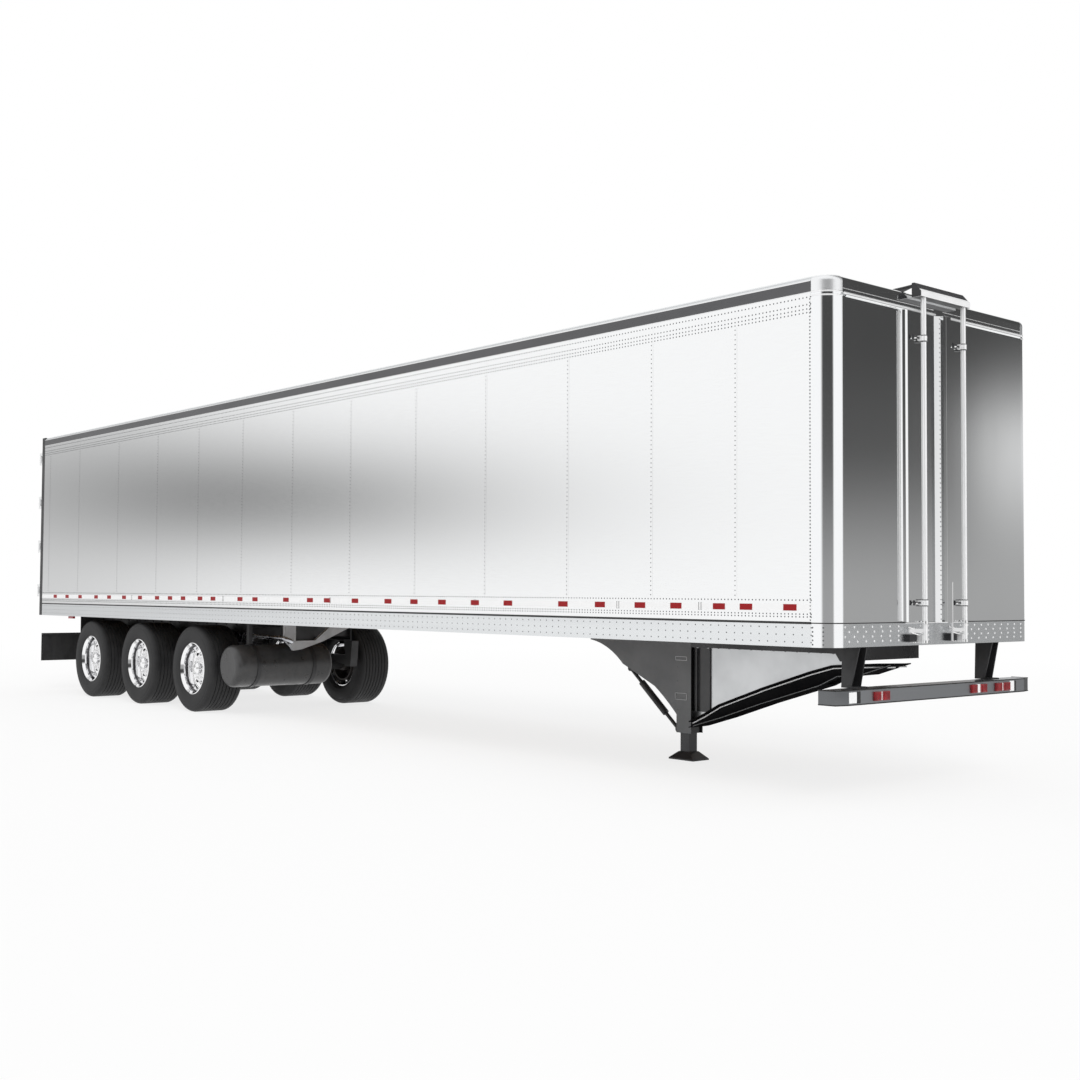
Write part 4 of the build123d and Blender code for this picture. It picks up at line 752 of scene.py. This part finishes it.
# places along the side are measured from the nose
sideSkin = {"seams": (-0.144, -0.826, -1.663, -2.615, -3.682, -4.722, -5.82, -6.927, -7.999,
                      -9.047, -10.126, -11.261, -12.518, -13.55),
            "gaps": (0.154, 0.1), "seamRows": (1.416, 3.317), "seamLap": (1.366, 3.482),
            "wallRows": (3.452, 3.402, 3.372, 3.347, 1.386, 1.291, 1.272),
            "railRows": (1.2, 1.15, 1.1), "levelLaps": ((3.331, 3.486), (1.258, 1.404)),
            "lapWidth": 0.034, "lapProud": 0.0005, "levelProud": 0.0003,
            "wallStuds": (0.032, 0.0062, 0.0028, 6), "seamStuds": (0.034, 0.00527, 0.0028, 8),
            "railStuds": (0.075, 0.00589, 0.00224, 8)}
# joint: heights of the dark strip painted over the bottom rail as the shadow under its lip
sideTape = {"low": 1.311, "high": 1.361, "proud": 0.0012, "joint": (1.2235, 1.2395),
            "shadowProud": 0.0026, "ends": (-1.161, -2.018, -3.811, -6.164, -8.4, -10.8),
            "endShift": 0.011, "endWidth": 0.0044, "endReach": 0.004, "endProud": 0.0018}
redMarks = {"at": (-0.333, -0.724, -0.977, -1.401, -1.777, -2.221, -2.657, -3.358, -3.811,
                   -4.291, -4.722, -5.143, -5.709, -6.219, -6.544, -7.022, -7.676, -8.01,
                   -8.639, -8.956, -9.385, -9.726, -10.077, -10.555, -11.023, -11.48, -11.891,
                   -12.417, -12.861, -13.28),
            "size": (0.115, 0.0012, 0.044), "proud": 0.0014}


def buildSide(name, side):
    skin, tape, face, nose = sideSkin, sideTape, side * body["side"], body["nose"]
    front, back = nose - skin["gaps"][0], body["tail"] + skin["gaps"][1]
    seams = [nose + place for place in skin["seams"] if back < nose + place < front]

    def levelRows(heights):
        return [((front, face, z), (back, face, z), (0, side, 0)) for z in heights]

    def addFlat(bm, start, end, proud, low, high):
        addBar(bm, (start, face, low), (end, face + side * proud, high))

    # dark rivet heads: painted shade
    studRows(f"wallRivets_{name}", levelRows(skin["wallRows"]), skin["wallStuds"], "rivetShadeDark",
             "rail_aluminium")
    foot, head = skin["seamRows"]
    studRows(f"seamRivets_{name}", [((x, face, foot), (x, face, head), (0, side, 0))
                                    for x in seams],
             skin["seamStuds"], "rivetShadeDark", "rail_aluminium")
    studRows(f"railRivets_{name}", levelRows(skin["railRows"]), skin["railStuds"], "rivetShadeGrey",
             "rail_aluminium")
    # laps where one sheet ends on the next
    bm, half = bmesh.new(), skin["lapWidth"] / 2
    for x in seams:
        addFlat(bm, x - half, x + half, skin["lapProud"], *skin["seamLap"])
    for heights in skin["levelLaps"]:
        addFlat(bm, back, front, skin["levelProud"], *heights)
    keepBuilt(f"wallLaps_{name}", bm, "polishedSkin", "skin_white")
    # reflecting tape with red marks
    bm = bmesh.new()
    addFlat(bm, back, front, tape["proud"], tape["low"], tape["high"])
    keepBuilt(f"whiteTape_{name}", bm, "retroWhite", "skin_white")
    middle = (tape["low"] + tape["high"]) / 2
    platesOn(f"redMarks_{name}",
             [(nose + x, face + side * redMarks["proud"], middle) for x in redMarks["at"]],
             redMarks["size"], "retroRed", "lamp_red")
    # dark line painted over the bottom rail as the shadow under its lip, and twin seams where one
    # length of tape ends
    bm, half, reach = bmesh.new(), tape["endWidth"] / 2, tape["endReach"]
    addFlat(bm, back, front, tape["shadowProud"], *tape["joint"])
    for place in tape["ends"]:
        for shift in (-tape["endShift"], tape["endShift"]):
            x = nose + place + shift
            addFlat(bm, x - half, x + half, tape["endProud"], tape["low"] - reach,
                    tape["high"] + reach)
    keepBuilt(f"sillShadowAndSeams_{name}", bm, "sealBlack", "rail_aluminium")


for name, side in bothSides:
    buildSide(name, side)
print("side walls dressed")

# beads: height and radius
# band: heights of the dark strip on each top rail, a painted reflection of the dark horizon in its
# rounded face
topTrim = {"gaps": (0.152, 0.092), "band": (3.489, 3.559), "proud": 0.0016,
           "beads": ((3.563, 0.004), (3.485, 0.0032))}


def buildTopTrim():
    trim, bm, line = topTrim, bmesh.new(), bmesh.new()
    front, back = body["nose"] - trim["gaps"][0], body["tail"] + trim["gaps"][1]
    for side in (1, -1):
        face = side * body["side"]
        addBar(bm, (back, face, trim["band"][0]),
               (front, face + side * trim["proud"], trim["band"][1]))
        for height, radius in trim["beads"]:
            addRod(line, (back, face, height), (front, face, height), radius, 10)
    # dark strips painted as the rails' reflection
    keepBuilt("railReflectionBands", bm, "darkReflectionBand", "rail_aluminium")
    keepBuilt("railBeads", line, "trimChrome", "trim_chrome", 50)


# rows of studs: place and facing round the post in degrees, foot, head
postTrim = {"beads": ((3.458, 0.006), (3.484, 0.006)), "joints": ((1.2315, 0.004),), "steps": 20,
            "sides": 8, "studs": (0.024, 0.0068, 0.003, 8),
            "rows": ((-4, 0, 1.2515, 3.438), (32, 32, 1.0872, 1.2015), (3, 0, 1.0872, 1.2015))}


def cornerOut(side, degrees):
    # away from the rounded corner; 0 degrees faces the side, 90 the nose
    angle = math.radians(degrees)
    return Vector((math.sin(angle), side * math.cos(angle), 0))


def cornerPoint(side, degrees, height):
    radius = body["postRadius"]
    centre = Vector((body["nose"] - radius, side * (body["side"] - radius), height))
    return centre + radius * cornerOut(side, degrees)


def addCornerBead(bm, side, height, thick):
    # a round bead bent round the post
    sides, rings = postTrim["sides"], []
    for step in range(postTrim["steps"] + 1):
        degrees = 90 * step / postTrim["steps"]
        middle, outward = cornerPoint(side, degrees, height), cornerOut(side, degrees)
        rings.append([bm.verts.new(middle + outward * thick * math.cos(a)
                                   + Vector((0, 0, thick * math.sin(a))))
                      for a in (2 * math.pi * i / sides for i in range(sides))])
    for one, two in zip(rings, rings[1:]):
        for i in range(sides):
            j = (i + 1) % sides
            bm.faces.new((one[i], one[j], two[j], two[i]))
    bm.faces.new(rings[0])
    bm.faces.new(rings[-1][::-1])


def buildPostTrim():
    bm, dark, rows = bmesh.new(), bmesh.new(), []
    for side in (1, -1):
        for mesh, beads in ((bm, postTrim["beads"]), (dark, postTrim["joints"])):
            for height, thick in beads:
                addCornerBead(mesh, side, height, thick)
        for place, facing, foot, head in postTrim["rows"]:
            rows.append((cornerPoint(side, place, foot), cornerPoint(side, place, head),
                         cornerOut(side, facing)))
    keepBuilt("cornerBeads", bm, "trimChrome", "trim_chrome", 50)
    # a dark bead round each post, painted as the shadow under the bottom rail's lip
    keepBuilt("cornerLipShadows", dark, "sealBlack", "rail_aluminium", 50)
    # grey rivet heads: painted shade
    studRows("postRivets", rows, postTrim["studs"], "rivetShadeGrey", "post_chrome")


# each piece's table holds its finish, slot, smoothing angle and parts
# outline of the black strip painted as the shade in the gap beside the column
gapShadeLine = ((0, 0), (0, 0.034), (0.012, 0.03), (0.012, 0.004))
ledgeLine = ((0, 0), (0.062, 0.002), (0.064, 0.006), (0.004, 0.018), (0, 0.018))
# x is measured from the nose
noseTrim = {
    # cover bar on the column
    "columnCover": ("noseSteel", "nose_metal", 30,
                    (((0.074, -0.087, 1.233), (0.0996, -0.05, 3.449)),)),
    # black strip left of the column, painted as the shade in the gap there, and dark lines under the
    # header, painted as the shadow below the beads
    "noseGapAndBeadShade": ("sealBlack", "flap_rubber", 30,
                 ((gapShadeLine, (0.05, 0.011, 1.233), (0, 0, 2.216), (0, 1, 0)),
                  ((0, -1.15, 3.4445), (0.003, -0.06, 3.4495)),
                  ((0, 0.06, 3.4445), (0.003, 1.15, 3.4495)))),
    # bright rods along the crests of the beads: a painted highlight
    "beadHighlights": ("rodBright", "trim_chrome", 50,
                   (((0.0145, -1.15, 3.4735), (0.0145, -0.06, 3.4735), 0.0085, 14),
                    ((0.0145, 0.06, 3.4735), (0.0145, 1.15, 3.4735), 0.0085, 14))),
    # the pilaster's edge beads, the drip ledge over the sill and lines over the beads
    "noseBrightwork": ("trimChrome", "trim_chrome", 50,
                       (((0.0954, -0.0445, 1.233), (0.0954, -0.0445, 3.449), 0.0042, 10),
                        ((0.004, -0.505, 1.233), (0.004, -0.505, 3.449), 0.006, 12),
                        ((0.004, 0.225, 1.233), (0.004, 0.225, 3.449), 0.006, 12),
                        ((0, -1.15, 3.512), (0, -0.06, 3.512), 0.0035, 8),
                        ((0, 0.06, 3.512), (0, 1.15, 3.512), 0.0035, 8),
                        (ledgeLine, (0, -0.52, 1.225), (0, 0.386, 0)),
                        (ledgeLine, (0, 0.046, 1.225), (0, 0.204, 0))))}
columnRow = {"x": 0.0735, "y": -0.0925, "foot": 1.253, "head": 3.429, "slant": (0.08, -0.05, 0),
             "studs": (0.035, 0.005, 0.003, 8)}


def buildNoseTrim():
    buildPieces(noseTrim, ((body["nose"], 0, 0),))
    x, y = body["nose"] + columnRow["x"], columnRow["y"]
    rows = [((x, y, columnRow["foot"]), (x, y, columnRow["head"]),
             Vector(columnRow["slant"]).normalized())]
    studRows("columnRivets", rows, columnRow["studs"], "pinSteel", "nose_metal")
    for name in ("nose_pilaster", "nose_rods"):
        nodes[name].visible_glossy = False


# rows: height and shift of the first stud
sillTrim = {"rows": ((1.205, 0.0), (1.172, 0.045), (1.139, 0.0), (1.106, 0.045)),
            "spans": ((-1.13, -0.51), (-0.24, -0.14), (0.28, 1.13)),
            "studs": (0.09, 0.0085, 0.0034, 8)}
lipShadowTrim = {"frontLipShadow": ("sealBlack", "rail_aluminium", 30,
                            (((0, -1.15, 1.2275), (0.0025, 1.15, 1.2345)),))}


def buildSillTrim():
    # staggered rows give the sill its diamond look, under a dark line painted as the shadow of the
    # rail's lip
    x0 = body["nose"]
    rows = [((x0, start + shift, height), (x0, end, height), (1, 0, 0))
            for height, shift in sillTrim["rows"] for start, end in sillTrim["spans"]]
    studRows("sillRivets", rows, sillTrim["studs"], "rodBright", "rail_aluminium")
    buildPieces(lipShadowTrim, ((x0, 0, 0),))


# clip parts stand round a rod at a clip's height, foot parts round its foot
rodFittings = {
    "rods": (-0.299, 0.215), "clips": (1.37, 3.26), "x": 0.075,
    # clamp rings and the T-shaped lever, standing to the right
    "clipDark": (((0, 0, -0.024), (0, 0, -0.018), 0.023, 20),
                 ((0, 0, 0.018), (0, 0, 0.024), 0.023, 20),
                 ((-0.01, -0.03, 0), (-0.01, -0.115, 0), 0.006, 14),
                 ((-0.01, -0.12, -0.018), (-0.01, -0.12, 0.018), 0.0075, 12)),
    "clipSteel": (((-0.01, -0.085, 0), (-0.01, -0.11, 0), 0.0095, 14),
                  ((0.014, -0.004, 0), (0.0225, -0.004, 0), 0.008, 6)),
    # box of the folded catch, its lids and levers, and the collars of the rod
    "footDark": (((0, -0.13, 1.094), (0.036, -0.045, 1.148)),),
    "footSteel": (((0, -0.138, 1.148), (0.04, -0.04, 1.1535)),
                  ((0, -0.138, 1.088), (0.04, -0.04, 1.094)),
                  ((0.058, 0.02, 1.168), (0.034, -0.15, 1.198), 0.0055, 10),
                  ((0.058, 0.02, 1.15), (0.034, -0.13, 1.18), 0.0055, 10),
                  ((0.058, 0.02, 1.13), (0.034, -0.11, 1.16), 0.0055, 10),
                  ((0.075, 0, 1.2225), (0.075, 0, 1.2405), 0.024, 20),
                  ((0.075, 0, 1.085), (0.075, 0, 1.103), 0.024, 20)),
    # upright catch rod on the column
    "catch": (((0.091, 0.022, 1.095), (0.091, 0.022, 1.5), 0.008, 12),
              ((0.091, 0.022, 1.49), (0.091, 0.022, 1.52), 0.0085, 12))}


def buildRodFittings():
    # clamps, levers and catches that hold the two nose rods
    trim, x0, steel, dark = rodFittings, body["nose"], bmesh.new(), bmesh.new()
    for y in trim["rods"]:
        for height in trim["clips"]:
            addParts(dark, trim["clipDark"], (x0 + trim["x"], y, height))
            addParts(steel, trim["clipSteel"], (x0 + trim["x"], y, height))
        addParts(dark, trim["footDark"], (x0, y, 0))
        addParts(steel, trim["footSteel"], (x0, y, 0))
    addParts(steel, trim["catch"], (x0, 0, 0))
    keepBuilt("rodFittings", steel, "trimChrome", "steel_zinc", 40)
    keepBuilt("catchBoxes", dark, "legBlack", "steel_zinc")


endLine = ((0.02, 3.558), (0.096, 3.558), (0.096, 3.596), (0.042, 3.658), (0.02, 3.658))
# x is measured from the nose; the slope runs from its front foot to its back top
headTrim = {"right": -0.36, "left": 0.27, "band": 3.592, "top": 3.662, "front": 0.1,
            "back": 0.04, "ribs": 31, "inset": 0.02, "part": 0.63, "share": 0.62,
            "rib": (0.0045, 0.004),
            "end": ((endLine, (0, 0, 0), (0, 0.003, 0)),
                    ((0.03, -0.012, 3.644), (-0.15, -0.012, 3.638), 0.009, 10))}


def buildHeadTrim():
    # ribbed sloping grip on the cross head, its dark end plates and hooks
    trim, x0 = headTrim, body["nose"]
    run, rise = trim["front"] - trim["back"], trim["top"] - trim["band"]
    first, last, part = trim["right"] + trim["inset"], trim["left"] - trim["inset"], trim["part"]
    pitch = (last - first) / (trim["ribs"] - 1)
    ribs = [(x0 + trim["front"] - run * part, first + i * pitch, trim["band"] + rise * part)
            for i in range(trim["ribs"])]
    platesOn("headRibs", ribs, (math.hypot(rise, run) * trim["share"], *trim["rib"]),
             "gripBlack", "trim_chrome", (0, math.atan2(rise, run), 0))
    dark = bmesh.new()
    for side, y in ((-1, trim["right"]), (1, trim["left"])):
        addParts(dark, trim["end"], (x0, y, 0), side)
    keepBuilt("headEnds", dark, "legBlack", "trim_chrome")


for build in (buildTopTrim, buildPostTrim, buildNoseTrim, buildSillTrim, buildRodFittings,
              buildHeadTrim):
    build()
print("nose dressed")

# plates, slots and lenses: place across, width, height
bumper = {"face": 6.938, "low": 0.68, "high": 0.78,
          "plates": ((-1.083, 0.084, 0.074), (-0.7585, 0.024, 0.06), (0.472, 0.052, 0.064),
                     (0.8055, 0.028, 0.06), (0.947, 0.062, 0.078)), "plateProud": 0.003,
          "slots": ((-1.015, 0.03, 0.08), (0.99, 0.026, 0.078)), "slotProud": 0.004,
          "path": ((6.768, 1.237), (6.908, 1.237), (6.938, 1.127)), "lip": 0.0042,
          "lipInset": 0.001, "edges": (0.0006, 0.0012),
          "lenses": ((-0.808, 0.072, 0.062), (-0.708, 0.074, 0.062), (0.406, 0.076, 0.062),
                     (0.538, 0.076, 0.062), (0.748, 0.084, 0.062), (0.863, 0.084, 0.062)),
          "ribs": 5, "ribGap": 0.003, "rim": 0.012, "lensFace": 0.0135, "lensProud": 0.004}


def buildBumper():
    face, middle = bumper["face"], (bumper["low"] + bumper["high"]) / 2
    pale, dark, lens = bmesh.new(), bmesh.new(), bmesh.new()
    for mesh, kind in ((pale, "plate"), (dark, "slot")):
        for y, width, height in bumper[kind + "s"]:
            addPlate(mesh, face, bumper[kind + "Proud"], y, width, middle, height)
    # dark lips along both edges, round the swept ends
    path = [*bumper["path"], *((x, -y) for x, y in reversed(bumper["path"]))]
    for height in (bumper["low"] + bumper["lipInset"], bumper["high"] - bumper["lipInset"]):
        for one, two in zip(path, path[1:]):
            addRod(dark, (*one, height), (*two, height), bumper["lip"], 8)
    # ribbed lens faces over the lamps
    for y, width, height in bumper["lenses"]:
        pitch = (width - bumper["rim"]) / bumper["ribs"]
        for rib in range(bumper["ribs"]):
            place = y + (rib + 0.5 - bumper["ribs"] / 2) * pitch
            addPlate(lens, face + bumper["lensFace"], bumper["lensProud"], place,
                     pitch - bumper["ribGap"], middle, height - bumper["rim"])
    softenBars(pale, bumper["edges"][0])
    softenBars(lens, bumper["edges"][1])
    keepBuilt("bumperReflectors", pale, "retroWhite", "bumper_aluminium")
    keepBuilt("bumperSlots", dark, "sealBlack", "bumper_aluminium")
    keepBuilt("lampLenses", lens, "redLens", "lamp_red")


buildBumper()
print("bumper dressed")

# frames: back, front, foot, head
legTrim = {"frames": ((4.354, 4.489, 0.85, 0.885), (4.352, 4.489, 0.512, 0.572)), "face": 0.075,
           "proud": 0.0035, "edge": 0.0042, "row": (4.375, 0.3, 1.04),
           "studs": (0.12, 0.007, 0.003, 8)}


def buildLegTrim():
    # pressed frames and rivets on the leg's sides; the frames' pale grey is a painted highlight on
    # their edges
    trim, bm, edge, rows = legTrim, bmesh.new(), legTrim["edge"], []
    x, foot, head = trim["row"]
    for side in (1, -1):
        face, outer = side * trim["face"], side * (trim["face"] + trim["proud"])
        for left, right, low, high in trim["frames"]:
            for a, b, c, d in ((left, right, low, low + edge), (left, right, high - edge, high),
                               (left, left + edge, low, high), (right - edge, right, low, high)):
                addBar(bm, (a, face, c), (b, outer, d))
        rows.append(((x, face, foot), (x, face, head), (0, side, 0)))
    keepBuilt("legFrameHighlights", bm, "braceAndHighlightGrey", "gusset_grey")
    studRows("legRivets", rows, trim["studs"], "gussetAndSheenGrey", "gusset_grey")


# lines along the beam: distance behind the nose, height
beamTrim = {"upper": ((2.36, 0.3435), (2.217, 0.409), (2.045, 0.5), (1.573, 0.668),
                      (1.115, 0.815), (1.0, 0.847), (0.889, 0.877), (0.6, 0.897), (0.33, 0.91)),
            "lower": ((2.325, 0.303), (2.012, 0.396), (1.573, 0.543), (1.245, 0.643),
                      (1.0, 0.718), (0.835, 0.796), (0.6, 0.824), (0.349, 0.904)),
            "web": 0.072, "flange": 0.1055, "drop": 0.022, "radius": 0.0058, "lowRadius": 0.0036}


def buildBeamTrim():
    # a bright bead on each web under the upper flange, a painted highlight, and grey lower edges, a
    # painted sheen
    trim = beamTrim
    for name, finish, line, radius, across, drop in (
            ("webHighlightLines", "rodBright", trim["upper"], trim["radius"], trim["web"], trim["drop"]),
            ("beamFootSheen", "gussetAndSheenGrey", trim["lower"], trim["lowRadius"], trim["flange"], 0)):
        bm = bmesh.new()
        points = [(body["nose"] - back, height - drop) for back, height in line]
        for y in (across, -across):
            for (x1, z1), (x2, z2) in zip(points, points[1:]):
                addRod(bm, (x1, y, z1), (x2, y, z2), radius, 8)
        keepBuilt(name, bm, finish, "leg_black", 40)


buildLegTrim()
buildBeamTrim()
print("leg dressed")

# wall: radius and half width from the bead to the shoulder
tyre = {"steps": 192, "outer": 0.509, "shoulder": 0.166, "grooves": (0.0, 0.045, 0.09, 0.135),
        "grooveWidth": 0.009, "grooveDepth": 0.012, "grooveFoot": 0.6, "wave": 0.0018,
        "notch": 0.004, "notched": (0.193, 0.201),
        "wall": ((0.2866, 0.172), (0.291, 0.1765), (0.3, 0.187), (0.31, 0.2), (0.326, 0.209),
                 (0.334, 0.213), (0.338, 0.2125), (0.348, 0.217), (0.372, 0.2208),
                 (0.4, 0.2225), (0.428, 0.221), (0.448, 0.2188), (0.453, 0.2158),
                 (0.458, 0.2158), (0.462, 0.2175), (0.474, 0.214), (0.487, 0.207),
                 (0.4955, 0.201), (0.5, 0.193), (0.5055, 0.182), (0.508, 0.172)),
        "axles": (-2.357, -3.817, -5.277), "track": 1.0275, "height": 0.509}


def treadLine():
    # across the crown from one shoulder to the other, dipping at each groove
    outer, half = tyre["outer"], tyre["grooveWidth"] / 2
    deep, foot = outer - tyre["grooveDepth"], half * tyre["grooveFoot"]
    line = [(outer, tyre["shoulder"], 0)]
    for place in sorted({s * g for g in tyre["grooves"] for s in (1, -1)}, reverse=True):
        line += [(outer, place + half, 1), (deep, place + foot, 1), (deep, place - foot, 1),
                 (outer, place - half, 1)]
    return line + [(outer, -tyre["shoulder"], 0)]


def buildTyre(name, x, side):
    outline = [(r, y, 0) for r, y in tyre["wall"]] + treadLine()
    outline += [(r, -y, 0) for r, y in reversed(tyre["wall"])]
    steps, bm, rings = tyre["steps"], bmesh.new(), []
    for step in range(steps):
        angle = 2 * math.pi * step / steps
        swing = tyre["wave"] * (1 if step % 4 < 2 else -1)
        ring = []
        for radius, across, waves in outline:
            if abs(across) in tyre["notched"] and step % 3 == 0:
                radius -= tyre["notch"]
            ring.append(bm.verts.new((x + radius * math.sin(angle),
                                      side * (tyre["track"] + across + waves * swing),
                                      tyre["height"] + radius * math.cos(angle))))
        rings.append(ring)
    count = len(outline)
    for step in range(steps):
        one, two = rings[step], rings[(step + 1) % steps]
        for i in range(count):
            j = (i + 1) % count
            bm.faces.new((one[i], one[j], two[j], two[i]))
    keepBuilt(f"treadTyre_{name}", bm, "tyreRubber", "tyre_rubber", 38, f"wheel_set_{name}",
              (f"tyre_{name}",))


wheelNuts = {"Count": 10, "Ring Radius": 0.1175, "Nut Radius": 0.0145, "Nut Height": 0.024}
nutFace = 0.116  # from the middle of the tyre


def buildNuts(name, x, side):
    place = (x, side * (tyre["track"] + nutFace), tyre["height"])
    values = {**wheelNuts, "Place": place, "Turn": (-side * math.pi / 2, 0, 0),
              "Finish": finishes["trimChrome"]}
    start = bpy.data.meshes.new("nutStart")
    keepPiece(f"wheelNuts_{name}", growMesh(ringTree, start, values, f"wheelNuts_{name}"),
              "wheel_alloy", 35, f"wheel_set_{name}")


for name, side in bothSides:
    for number, x in enumerate(tyre["axles"], 1):
        buildTyre(f"{name}_{number}", x, side)
        buildNuts(f"{name}_{number}", x, side)
print("wheels dressed")

# x is measured from the tail, and y from the middle towards the door's side
doorSeals = {"doorSeals": ("sealBlack", "door_white", 30,
                           (((-0.0018, 0.0105, 1.2275), (0, 0.0385, 3.4375)),
                            ((-0.0018, 1.1995, 1.2275), (0, 1.2275, 3.4375)),
                            ((-0.0018, 0.0385, 1.2275), (0, 1.1995, 1.2555)),
                            ((-0.0018, 0.0385, 3.4095), (0, 1.1995, 3.4375))))}
# collars and grips stand round each lock rod at its handle
handleTrim = {"rodCollars": ("zincPlate", "steel_zinc", 40,
                             (((-0.024, 0, -0.032), (-0.024, 0, -0.02), 0.017, 18),
                              ((-0.024, 0, 0.02), (-0.024, 0, 0.032), 0.017, 18))),
              "handleGrips": ("gripBlack", "steel_zinc", 30,
                              (((-0.0305, 0.14, -0.0205), (-0.0115, 0.24, 0.0205)),),
                              0.0035, 2)}
doorTrim = {"rods": (0.33, 0.85), "handle": 1.618,
            "uprights": ((0.0705, 0.6, 1.065), 1.3075, 3.3575),
            "levels": ((1.2825, 3.3825), 0.1105, 1.1275), "rivets": (0.1, 0.0065, 0.0028, 8),
            "straps": (1.42, 2.0467, 2.6733, 3.3), "strap": (0.012, 1.105, 1.195, 0.024),
            "clips": (1.5, 2.0667, 2.6333, 3.2), "clip": (0.04, 0.019, 0.018),
            "bolts": (0.038, 0.0075, 0.005, 6)}


def buildDoorTrim(name, side):
    # seals, rivets, bolts and grips that swing with one door
    trim, tail, tag, carrier = doorTrim, body["tail"], f"_{name}", f"rear_door_{name}"

    def across(x, near, far, low, high=None):
        # one row of heads that face the back
        return ((tail - x, side * near, low), (tail - x, side * far, high or low), (-1, 0, 0))

    buildPieces(doorSeals, ((tail, 0, 0),), (side,), tag, carrier)
    places, foot, head = trim["uprights"]
    rows = [across(0, y, y, foot, head) for y in places]
    heights, near, far = trim["levels"]
    rows += [across(0, near, far, z) for z in heights]
    studRows("doorRivets" + tag, rows, trim["rivets"], "doorPaint", "door_white", carrier)
    face, near, far, lift = trim["strap"]
    rows = [across(face, near, far, place + z) for place in trim["straps"] for z in (-lift, lift)]
    face, half, lift = trim["clip"]
    rows += [across(face, y - half, y + half, place + z)
             for y in trim["rods"] for place in trim["clips"] for z in (-lift, lift)]
    studRows("doorBolts" + tag, rows, trim["bolts"], "zincPlate", "steel_zinc", carrier)
    spots = [(tail, side * y, trim["handle"]) for y in trim["rods"]]
    buildPieces(handleTrim, spots, (side,), tag, carrier)


rearTrim = {"tape": (0.0012, 0.93, 1.118, 1.168), "marks": (-0.9, -0.6, -0.3, 0, 0.3, 0.6, 0.9),
            "mark": (0.0012, 0.15, 0.046), "markProud": 0.0014,
            "rows": ((1.27, 1.26, 1.27, 3.44), (-1.27, 1.26, -1.27, 3.44),
                     (-1.15, 3.55, 1.15, 3.55)), "studs": (0.1, 0.0065, 0.0028, 8)}


def buildRearTrim():
    # reflecting tape on the rear sill, and rivets round the rear frame
    trim, tail, bm = rearTrim, body["tail"], bmesh.new()
    proud, half, low, high = trim["tape"]
    addBar(bm, (tail - proud, -half, low), (tail, half, high))
    keepBuilt("rearTape", bm, "retroWhite", "frame_black")
    platesOn("rearMarks", [(tail - trim["markProud"], y, (low + high) / 2) for y in trim["marks"]],
             trim["mark"], "retroRed", "lamp_red")
    rows = [((tail, y1, z1), (tail, y2, z2), (-1, 0, 0)) for y1, z1, y2, z2 in trim["rows"]]
    studRows("frameRivets", rows, trim["studs"], "frameBlack", "frame_black")


roofTrim = {"seams": (-0.144, -1.663, -3.682, -5.82, -7.999, -10.126, -12.518), "half": 1.22,
            "rowHalf": 1.2, "width": 0.04, "proud": 0.0012, "studs": (0.08, 0.006, 0.0024, 8)}


def buildRoofTrim():
    # lap seams across the roof, with their rivets
    trim, bm, rows = roofTrim, bmesh.new(), []
    low, high = body["roof"], body["roof"] + trim["proud"]
    for place in trim["seams"]:
        x = body["nose"] + place
        addBar(bm, (x - trim["width"] / 2, -trim["half"], low),
               (x + trim["width"] / 2, trim["half"], high))
        rows.append(((x, -trim["rowHalf"], high), (x, trim["rowHalf"], high), (0, 0, 1)))
    keepBuilt("roofSeams", bm, "roofSheet", "roof_white")
    studRows("roofRivets", rows, trim["studs"], "railAluminium", "roof_white")


# steel scuff band along the foot of each wall inside, with a folded top edge
scuffTrim = {"scuffBands": ("zincPlate", "steel_zinc", 30,
                            (((-6.83, 1.26, 1.222), (6.7, 1.257, 1.52)),
                             ((-6.83, 1.26, 1.519), (6.7, 1.2534, 1.532))))}
flapTrim = {"flapBars": ("zincPlate", "steel_zinc", 30,
                         (((-6.851, 0.65, 0.43), (-6.847, 1.29, 0.465)),
                          ((-6.851, 0.65, 0.73), (-6.847, 1.29, 0.77))))}
# rings stand round a bellows over each axle
springTrim = {"bellowsRings": ("bellowsRubber", "bellows_rubber", 40,
                               (((-0.3, 0.66, 0.72), (-0.3, 0.66, 0.728), 0.1275, 36),
                                ((-0.3, 0.66, 0.778), (-0.3, 0.66, 0.786), 0.1275, 36)))}
# name: rows of heads on both sides, studs, finish, slot
hiddenRows = {
    "scuffRivets": ((((-6.78, 1.257, 1.272), (6.65, 1.257, 1.272), (0, -1, 0)),
                     ((-6.78, 1.257, 1.49), (6.65, 1.257, 1.49), (0, -1, 0))),
                    (0.15, 0.006, 0.0024, 8), "railAluminium", "steel_zinc"),
    "flapBolts": ((((-6.851, 0.7, 0.4475), (-6.851, 1.24, 0.4475), (-1, 0, 0)),
                   ((-6.851, 0.7, 0.75), (-6.851, 1.24, 0.75), (-1, 0, 0))),
                  (0.18, 0.009, 0.005, 6), "pinSteel", "steel_zinc"),
    "couplerBolts": ((((6.313, 0.46, 0.99), (4.963, 0.46, 0.99), (0, 0, -1)),),
                     (0.11, 0.011, 0.006, 6), "pinSteel", "chassis_black")}


def buildHidden():
    # scuff bands inside, flap stiffeners, bellows rings and coupler bolts
    both, once = (1, -1), ((0, 0, 0),)
    springs = [(axle, 0, 0) for axle in tyre["axles"]]
    for pieces, spots, name in ((scuffTrim, once, "scuffRivets"), (flapTrim, once, "flapBolts"),
                                (springTrim, springs, "couplerBolts")):
        buildPieces(pieces, spots, both)
        rows, *others = hiddenRows[name]
        studRows(name, [tuple((x, side * y, z) for x, y, z in row)
                        for side in both for row in rows], *others)


for name, side in bothSides:
    buildDoorTrim(name, side)
for build in (buildRearTrim, buildRoofTrim, buildHidden):
    build()
print("rear, roof, inside and underside dressed")
